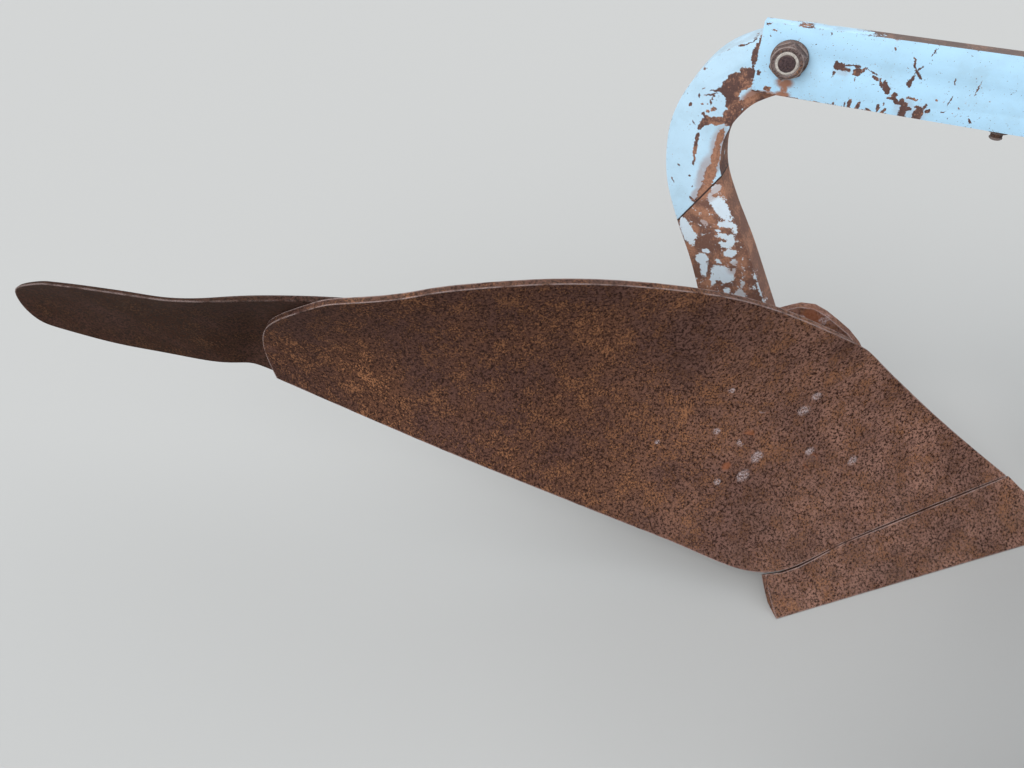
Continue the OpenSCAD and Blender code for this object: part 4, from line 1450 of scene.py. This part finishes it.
@dataclass(frozen=True)
class LegMount:
    """The bolt a leg hangs on, its shear bolt and its pitch screw, in millimetres.

    Attributes:
        rise: Height of the leg bolt above the middle of the beam.
        bolt: Sizes of its head and nut.
        nut_height: Height of the nut above the washer's seat, less its crown.
        washer: Diameter and height of the washer.
        shank: Diameter of the bolt.
        tip: Diameter of the bolt's dark end, its height and how far it is sunk.
        collar: Radius of the middle of the nut's collar, and half of its width.
        bright: Half of the width of the worn ring round the end, and its rise.
        turn: Turn of the nut, in degrees.
        soft: Share of the washer's height that its rims are rounded by.
        shear: Sizes of the shear bolt.
        shear_at: Ahead and above of the shear bolt.
        shear_turn: Turn of its nut, in degrees.
        pitch_at: Ahead, aside and above of the pitch screw's lower end.
        pitch_thread: Its diameter and length.
        pitch_nut: Width across the flats of its lock nut, the nut's height and where it starts.
    """

    rise: float = 4.0
    bolt: BoltSize = BoltSize(36.0, head=16.0)
    nut_height: float = 10.4
    washer: Pair = (42.0, 4.0)
    shank: float = 24.0
    tip: Triple = (19.0, 4.2, 1.4)
    collar: Pair = (15.4, 2.3)
    bright: Pair = (1.7, 0.4)
    turn: float = 22.0
    soft: float = 0.3
    shear: BoltSize = BoltSize(19.0, head=8.0, nut=10.0, thread=12.0, washer=10.5)
    shear_at: Pair = (385.0, 645.0)
    shear_turn: float = 20.0
    pitch_at: Place = (232.0, -17.5, 590.0)
    pitch_thread: Pair = (14.0, 94.0)
    pitch_nut: Triple = (22.0, 13.0, 9.0)

    def leg_bolt(self, shop: Shop, side: Side) -> None:
        """Build the leg bolt with its washer, its nut and the worn ring round its end."""
        bench = shop.bench
        above = BEAM_MIDDLE + self.rise
        inside = shop.spot(side, 0, 0, above)
        outside = shop.spot(side, 0, BEAM_FURROW_FACE, above)
        washer, bottom = (size * MM for size in self.washer)
        top = bottom + self.nut_height * MM
        across = self.bolt.across * MM
        tip, tip_height, sunk = (size * MM for size in self.tip)
        collar, collar_half = (size * MM for size in self.collar)
        bright, bright_rise = (size * MM for size in self.bright)
        parts = []
        for name, make, finish, turn in (
            ("leg_washer", lambda: bench.washer(washer / 2, bottom, 0.0, self.soft), Finish.BOLT, 0.0),
            ("leg_nut", lambda: bench.hexagon(across, top - bottom, bottom), Finish.BOLT, self.turn),
            ("leg_collar", lambda: bench.ring(collar, collar_half, top), Finish.BOLT, 0.0),
            ("leg_ring", lambda: bench.ring(tip / 2 + bright, bright, top + bright_rise), Finish.WORN, 0.0),
            ("leg_tip", lambda: bench.washer(tip / 2, tip_height, top - sunk, self.soft), Finish.DARK, 0.0),
        ):
            parts.append(shop.put(bench.once(name, make), outside, TO_FURROW, finish, turn))
        parts.append(shop.put(bench.head(self.bolt), inside, TO_LAND))
        shank = bench.once("leg_shank", lambda: bench.drum(self.shank / 2 * MM, -BEAM_FURROW_FACE * MM, 48))
        parts.append(shop.put(shank, inside, TO_FURROW))
        shop.replace(f"{side.value}_leg_bolt", parts)

    def shear_bolt(self, shop: Shop, side: Side) -> None:
        """Build the shear bolt through the end of the leg's arm."""
        bench = shop.bench
        ahead, above = self.shear_at
        inside = shop.spot(side, ahead, 0, above)
        outside = shop.spot(side, ahead, BEAM_FURROW_FACE, above)
        shank = bench.once("shear_shank", lambda: bench.drum(
            self.shear.thread / 2 * MM, -BEAM_FURROW_FACE * MM, 32))
        shop.replace(f"{side.value}_shear_bolt", [
            shop.put(bench.head(self.shear), inside, TO_LAND),
            shop.put(bench.nut(self.shear), outside, TO_FURROW, turn=self.shear_turn),
            shop.put(shank, inside, TO_FURROW),
        ])

    def pitch_screw(self, shop: Shop, side: Side) -> None:
        """Build the upright screw that sets the body's pitch, with its lock nut."""
        bench = shop.bench
        foot = shop.spot(side, *self.pitch_at)
        diameter, length = (size * MM for size in self.pitch_thread)
        across, height, low = (size * MM for size in self.pitch_nut)
        shop.replace(f"{side.value}_pitch_screw", [
            shop.put(bench.once("pitch_thread", lambda: bench.thread(diameter, length, 0.0)), foot, UP),
            shop.put(bench.once("pitch_nut", lambda: bench.hexagon(across, height, low)), foot, UP),
        ])

    def build(self, shop: Shop, side: Side) -> None:
        """Build all three."""
        self.leg_bolt(shop, side)
        self.shear_bolt(shop, side)
        self.pitch_screw(shop, side)


@dataclass(frozen=True)
class BodyBolts:
    """The bolts that hold one plough body together, in millimetres on that body.

    Attributes:
        board: Ahead and above of the bolts through the moldboard.
        lap: The same for those through its lap on the tail piece.
        share: Ahead and aside of the bolts through the share.
        leg: Ahead and above of the bolts between leg and frog.
        landside: Ahead and above of the bolts through the landside.
        stay: Ahead and above of the bolts through the stay's foot.
        stay_face: Aside of that foot's face.
        flush: Radius of a countersunk head.
        outside: Aside of where the lines through the plates start.
        over: Above of where those through the share start.
        behind: How far behind a head its nut is looked for from.
        nut: Sizes of the nuts behind the plates.
        nut_turn: Their turn, in degrees.
        leg_size: Sizes of the leg's bolts.
        stay_size: Sizes of the stay's bolts.
    """

    board: tuple[Pair, ...] = ((288, 145), (223, 208), (85, 240), (165, 147), (75, 199))
    lap: tuple[Pair, ...] = ((-540, 325), (-520, 405), (-440, 360))
    share: tuple[Pair, ...] = ((389, -100), (318, -173), (246, -247))
    leg: tuple[Pair, ...] = ((20, 235), (48, 160))
    landside: tuple[Pair, ...] = ((70, 55), (165, 55), (260, 55))
    stay: tuple[Pair, ...] = ((38, 152), (-9, 140))
    stay_face: float = -61.0
    flush: float = 10.0
    outside: float = -900.0
    over: float = 400.0
    behind: float = 120.0
    nut: BoltSize = BoltSize(19.0, nut=11.0, thread=12.0, washer=13.0)
    nut_turn: float = 17.0
    leg_size: BoltSize = BoltSize(30.0, head=12.5, nut=19.0, thread=20.0, washer=19.0)
    stay_size: BoltSize = BoltSize(16.0, head=9.0)

    def through(self, shop: Shop, front: str, back: tuple[str, ...], start: Vector,
                aim: Vector) -> list[Piece]:
        """Fit a flush head where a line meets the front, and its nut behind.

        Args:
            shop: The shop.
            front: The solid that carries the head.
            back: Solids that may carry the nut.
            start: Where the line starts.
            aim: Its direction.

        Returns:
            The head and the nut, or nothing where the line misses.
        """
        met = shop.touch((front,), start, aim)
        if met is None:
            return []
        place, normal = met
        if normal.dot(aim) > 0:
            normal = -normal
        parts = [shop.put(shop.bench.flush(self.flush * MM), place, normal, Finish.HEAD)]
        behind = shop.touch(back, place - normal * self.behind * MM, normal)
        if behind is not None:
            parts.append(shop.put(shop.bench.nut(self.nut), behind[0], -normal, Finish.HEAD, self.nut_turn))
        return parts

    def plates(self, shop: Shop, side: Side) -> None:
        """Fit the bolts through the moldboard, its lap and the share."""
        board, frog, tail, share = (f"{side.value}_{piece}" for piece in (
            "moldboard", "frog", "tail_piece", "share"))
        for name, places, back, slot in (("moldboard_bolts", self.board, (board, frog), board),
                                         ("tail_bolts", self.lap, (board, tail), tail)):
            parts = []
            for ahead, above in places:
                start = shop.spot(side, ahead, self.outside, above)
                parts += self.through(shop, board, back, start, TO_LAND)
            shop.finish(f"{side.value}_{name}", parts, slot)
        parts = []
        for ahead, aside in self.share:
            parts += self.through(shop, share, (), shop.spot(side, ahead, aside, self.over), DOWN)
        shop.finish(f"{side.value}_share_bolts", parts, share)

    def build(self, shop: Shop, side: Side) -> None:
        """Fit the bolts of one body."""
        self.plates(shop, side)
        bench = shop.bench
        leg = []
        for ahead, above in self.leg:
            inside = shop.spot(side, ahead, 0, above)
            outside = shop.spot(side, ahead, BEAM_FURROW_FACE, above)
            leg.append(shop.put(bench.head(self.leg_size), inside, TO_LAND, Finish.STEEL))
            leg.append(shop.put(bench.nut(self.leg_size), outside, TO_FURROW, Finish.STEEL))
        shop.finish(f"{side.value}_leg_bolts", leg, f"{side.value}_frog")
        flush = bench.flush(self.flush * MM)
        land = [shop.put(flush, shop.spot(side, ahead, 0, above), TO_LAND, Finish.STEEL)
                for ahead, above in self.landside]
        shop.finish(f"{side.value}_landside_bolts", land, f"{side.value}_landside")
        head = bench.head(self.stay_size)
        stay = [shop.put(head, shop.spot(side, ahead, self.stay_face, above), TO_FURROW)
                for ahead, above in self.stay]
        shop.finish(f"{side.value}_stay_bolts", stay, f"{side.value}_stay")


@dataclass(frozen=True)
class CoulterBolts:
    """The screws of one coulter, in millimetres on its body.

    Attributes:
        stalk: How far the stalk stands ahead of the leg bolt.
        clamp_faces: Aside of the clamp's land face and furrow face.
        land_screws: Above and turn in degrees of the set screws on its land face.
        furrow_screws: Ahead of the stalk of those on its furrow face, which is their turn too.
        screw: Sizes of a set screw's nut.
        disc: Ahead, aside and above of the disc's centre.
        ring: Radius on which the hub's bolts stand.
        count: How many there are.
        first: Where on the ring the first one stands, in radians.
        flange: Half of the flange's thickness.
        hub: Sizes of the hub's bolts.
        hub_turn: How far each is turned on from the last, in degrees.
    """

    stalk: float = 820.0
    clamp_faces: Pair = (47.0, -61.0)
    land_screws: tuple[Pair, ...] = ((622, 10), (678, 34))
    furrow_screws: Pair = (-21.0, 21.0)
    screw: BoltSize = BoltSize(24.0, nut=15.0, thread=16.0, washer=15.5)
    disc: Place = (645.0, 15.0, 232.0)
    ring: float = 45.5
    count: int = 5
    first: float = 0.3
    flange: float = 7.5
    hub: BoltSize = BoltSize(13.0, head=5.5, nut=8.0, thread=8.0, washer=7.5)
    hub_turn: float = 23.0

    def build(self, shop: Shop, side: Side) -> None:
        """Fit the clamp's set screws and the hub's bolts."""
        bench = shop.bench
        screw = bench.nut(self.screw)
        land, furrow = self.clamp_faces
        clamp = [shop.put(screw, shop.spot(side, self.stalk, land, above), TO_LAND, turn=turn)
                 for above, turn in self.land_screws]
        for ahead in self.furrow_screws:
            at = shop.spot(side, self.stalk + ahead, furrow, BEAM_MIDDLE)
            clamp.append(shop.put(screw, at, TO_FURROW, turn=ahead))
        shop.finish(f"{side.value}_clamp_screws", clamp, f"{side.value}_coulter_clamp")
        disc_ahead, disc_aside, disc_above = self.disc
        hub = []
        for step in range(self.count):
            angle = math.tau * step / self.count + self.first
            ahead = disc_ahead + self.ring * math.cos(angle)
            above = disc_above + self.ring * math.sin(angle)
            for part, way in ((bench.head(self.hub), TO_LAND), (bench.nut(self.hub), TO_FURROW)):
                at = shop.spot(side, ahead, disc_aside + way.y * self.flange, above)
                hub.append(shop.put(part, at, way, turn=step * self.hub_turn))
        shop.finish(f"{side.value}_hub_bolts", hub, f"{side.value}_coulter_disc", f"{side.value}_disc")


@dataclass(frozen=True)
class FrameJoints:
    """The bolts and welds of the frame, in millimetres on the rear body.

    Attributes:
        tube: Ahead of the headstock tube's rear face, and its side.
        tube_low: Height of its underside.
        beams: Aside of each beam's two faces.
        beam: Heights of a beam's lower and upper edge.
        feet: Ahead of each mast stay's foot, and half of its length.
        brace: Ahead of the brace's crossing of each beam, and half of its width.
        mast: Aside of each mast plate's two faces.
        mast_bead: Radius of the beads along them.
        mast_inset: How far those end short of the tube's faces.
        clamps: Aside of each shaft clamp's two faces.
        clamp_inset: How far their beads end short of the tube's faces.
        spacer: How far the spacer stands ahead.
        spacer_bolt: Sizes of the bolt through it.
        spacer_washer: Radius and thickness of the washer under its head.
        stay_bolt: Sizes of the bolts at the top of the mast stays.
        stay_ahead: How far they stand ahead of the tube's middle.
        stay_faces: Aside of the mast stays' outer faces.
        stay_heights: Heights of those bolts, which are their turn in degrees too.
    """

    tube: Pair = (1660.0, 90.0)
    tube_low: float = 605.0
    beams: tuple[Pair, ...] = ((BEAM_FURROW_FACE, BEAM_LAND_FACE), (-402.0, -390.0))
    beam: Pair = (610.0, 690.0)
    feet: Triple = (960.0, 980.0, 45.0)
    brace: Triple = (640.0, 850.0, 34.0)
    mast: tuple[float, ...] = (-123.0, -111.0, -189.0, -177.0)
    mast_bead: float = 4.5
    mast_inset: float = 3.0
    clamps: tuple[float, ...] = (-322.0, -278.0, -22.0, 22.0)
    clamp_inset: float = 9.0
    spacer: float = 1300.0
    spacer_bolt: BoltSize = BoltSize(36.0, head=16.0, nut=22.0, thread=24.0, washer=23.0)
    spacer_washer: Pair = (32.0, 5.0)
    stay_bolt: BoltSize = BoltSize(13.0, head=5.5)
    stay_ahead: float = 7.0
    stay_faces: Pair = (-99.0, -201.0)
    stay_heights: Pair = (1018.0, 1062.0)

    def welds(self, shop: Shop) -> None:
        """Lay the beads of the headstock, the mast, the feet and the brace."""
        back, side = self.tube
        front = back + side
        low, high = self.beam
        ends = []
        for faces, foot, brace in zip(self.beams, self.feet, self.brace):
            for face in faces:
                ends.append(shop.bead((back, face, low), (back, face, high)))
                for middle, half in ((foot, self.feet[-1]), (brace, self.brace[-1])):
                    ends.append(shop.bead((middle - half, face, high), (middle + half, face, high)))
        shop.finish("beam_welds", ends, "headstock_tube")
        top = self.tube_low + side
        plates = [shop.bead((back + self.mast_inset, face, top), (front - self.mast_inset, face, top),
                            self.mast_bead) for face in self.mast]
        shop.finish("mast_welds", plates, "headstock_tube")
        clamps = [shop.bead((back + self.clamp_inset, face, self.tube_low),
                            (front - self.clamp_inset, face, self.tube_low)) for face in self.clamps]
        shop.finish("shaft_clamp_welds", clamps, "left_shaft_clamp")

    def bolts(self, shop: Shop) -> None:
        """Fit the spacer's bolts and those at the top of the mast stays."""
        bench = shop.bench
        radius, thick = self.spacer_washer
        washer = bench.once("spacer_washer", lambda: bench.washer(radius * MM, thick * MM))
        head = bench.head(self.spacer_bolt)
        nut = bench.nut(self.spacer_bolt)
        parts = []
        for face, way, end in ((BEAM_LAND_FACE, TO_LAND, head), (self.beams[-1][0], TO_FURROW, nut)):
            parts.append(shop.put(washer, shop.spot(Side.REAR, self.spacer, face, BEAM_MIDDLE), way))
            outer = shop.spot(Side.REAR, self.spacer, face + way.y * thick, BEAM_MIDDLE)
            parts.append(shop.put(end, outer, way))
        shop.finish("spacer_bolts", parts, "beam_spacer")
        back, side = self.tube
        ahead = back + side / 2 + self.stay_ahead
        head = bench.head(self.stay_bolt)
        stays = [shop.put(head, shop.spot(Side.REAR, ahead, face, above), way, turn=above)
                 for face, way in zip(self.stay_faces, (TO_LAND, TO_FURROW))
                 for above in self.stay_heights]
        shop.finish("mast_stay_bolts", stays, "left_mast_stay")

    def build(self, shop: Shop) -> None:
        """Fit the frame's joints."""
        self.welds(shop)
        self.bolts(shop)


# Ends of the solids' names, with their finish, the kind of their faces and the width of their rounded
# edges in millimetres. What isn't listed is painted plate.
LOOKS = (
    (("moldboard",), Finish.BOARD, Face.CURVED, 2.2),
    (("tail_piece",), Finish.TAIL, Face.CURVED, 2.2),
    (("share",), Finish.BOARD, Face.PLATE, 0.8),
    (("rear_beam",), Finish.BEAM, Face.PLATE, 1.2),
    (("front_beam",), Finish.FRONT_BEAM, Face.PLATE, 1.2),
    (("rear_leg",), Finish.LEG, Face.PLATE, 2.5),
    (("front_leg",), Finish.FRONT_LEG, Face.PLATE, 2.5),
    (("frog",), Finish.CASTING, Face.PLATE, 2.5),
    (("disc", "stalk", "landside", "rear_stay", "front_stay", "shaft", "shaft_clamp"), Finish.STEEL,
     Face.PLATE, 0.8),
)
PAINTED = (Finish.PAINT, Face.PLATE, 1.5)
BOLTS = ("_bolt", "_screw")
SEAM = (-103.0, -245.0, -58.0, -172.0)
# Ahead of the rear leg bolt, in metres, where the painted sky sheen on the boards and their flush heads
# starts and is full.
PAINTED_SHEEN_SPAN = (-0.20, 0.30)


def look_of(name: str) -> tuple[Finish, Face, float]:
    """Say how a solid is finished.

    Args:
        name: The solid's name.

    Returns:
        Its finish, the kind of its faces and the width of its rounded edges, in millimetres.
    """
    for endings, finish, face, width in LOOKS:
        if name.endswith(endings):
            return finish, face, width
    return PAINTED


def recipes(datum: Datum) -> dict[Finish, tuple[Paint | RustedSteel, Vector]]:
    """List what each finish is made of.

    Args:
        datum: The points that marks are measured from.

    Returns:
        The recipe of each finish, with the point from which its marks are measured.
    """
    return {
        Finish.BEAM: (Paint("beam_paint", chips=BEAM_CHIPS, stains=BEAM_STAINS, wear=0.0, patchy=0.14,
                            bare_top=0.9, bare_ahead=0.05), datum.beam),
        Finish.FRONT_BEAM: (Paint("front_beam_paint", chips=BEAM_CHIPS[5::4], stains=BEAM_STAINS[1:3],
                                  patchy=0.30, bare_top=0.7, bare_ahead=0.02), datum.beam + datum.pitch),
        Finish.LEG: (Paint("leg_paint", coat=srgb(192, 224, 244), chips=LEG_CHIPS, islands=LEG_ISLANDS,
                           stains=LEG_STAINS, orange=LEG_ORANGE, seam=SEAM, wear=0.0, patchy=0.10,
                           bare_sides=0.80, bare_top=1.0, bare_ahead=0.05), datum.leg),
        Finish.FRONT_LEG: (Paint("front_leg_paint", coat=srgb(188, 223, 245), chips=LEG_CHIPS[2::4],
                                 islands=LEG_ISLANDS[1::3], orange=LEG_ORANGE[::3], seam=SEAM, wear=0.09,
                                 patchy=0.22, bare_sides=0.70, bare_top=0.6, bare_ahead=0.05),
                           datum.leg + datum.pitch),
        Finish.PAINT: (Paint("frame_paint", wear=0.14, patchy=0.34, bare_top=0.18), datum.beam),
        # The boards' paler colour toward the share is a painted sky sheen, and their darker rear end is
        # painted shading.
        Finish.BOARD: (RustedSteel("board_rust", dark=srgb(36, 18, 12), middle=srgb(106, 71, 54),
                                   worn=srgb(170, 127, 110), speck=srgb(166, 114, 80), blooms=BLOOMS,
                                   embers=EMBERS, painted_sheen_span=PAINTED_SHEEN_SPAN, painted_shade=0.42, dust=0.16), datum.foot),
        # The tail piece's rust is the boards' rust made much darker: painted shading for a face that looks
        # down under the board's overhang.
        Finish.TAIL: (RustedSteel("tail_rust_shaded", dark=srgb(32, 18, 10), middle=srgb(58, 34, 22),
                                  speck=srgb(108, 74, 52), speck_share=0.5, dust=0.06), datum.foot),
        Finish.STEEL: (RustedSteel("steel_rust", dark=srgb(60, 40, 32), middle=srgb(100, 72, 60)),
                       datum.foot),
        Finish.CASTING: (RustedSteel("casting_rust", dark=srgb(84, 56, 48), middle=srgb(162, 120, 106),
                                     embers=FROG_EMBERS, blooms=FROG_FLAKES, dust=0.12, relief=0.0009,
                                     roughness=0.75), datum.foot),
        Finish.BOLT: (RustedSteel("bolt_rust", dark=srgb(58, 46, 44), middle=srgb(118, 104, 102),
                                  edge=srgb(176, 164, 160), fleck_size=0.002, roughness=0.5, relief=0.0002),
                      datum.foot),
        Finish.WORN: (RustedSteel("worn_steel", dark=srgb(150, 140, 134), middle=srgb(206, 200, 192),
                                  speck=srgb(160, 130, 112), edge=srgb(220, 214, 206), fleck_size=0.003,
                                  speck_share=0.3, roughness=0.45, relief=0.0001), datum.foot),
        Finish.DARK: (RustedSteel("dark_bolt", dark=srgb(52, 42, 44), middle=srgb(86, 72, 74),
                                  edge=srgb(100, 86, 86), fleck_size=0.002, speck_share=0.3, relief=0.0002),
                      datum.foot),
        # The flush heads take the boards' painted sky sheen too.
        Finish.HEAD: (RustedSteel("head_rust", edge=srgb(98, 66, 52), painted_sheen_span=PAINTED_SHEEN_SPAN), datum.foot),
    }


def main() -> None:
    """Build the plough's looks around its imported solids."""
    logging.basicConfig(level=logging.INFO, format="%(message)s")
    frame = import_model()
    bpy.context.scene.view_settings.view_transform = "Standard"
    datum = Datum.measure()
    studio = Studio()
    studio.camera(datum.foot)
    studio.light()
    studio.floor()
    effects = Effects()
    finishes = {finish: recipe.build(effects, origin)
                for finish, (recipe, origin) in recipes(datum).items()}
    shop = Shop(Bench(), finishes, datum, frame["nodes"])
    for side in Side:
        LegMount().build(shop, side)
        BodyBolts().build(shop, side)
        CoulterBolts().build(shop, side)
    FrameJoints().build(shop)
    for name, node in frame["nodes"].items():
        if name.endswith(BOLTS):
            continue
        finish, face, width = look_of(name)
        piece = shop.dress(shop.bench.rounded(node, f"{name}_finished", face, width * MM), finish)
        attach(piece, node["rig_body"])
        LOG.info("finished %s", name)


if __name__ == "__main__":
    main()
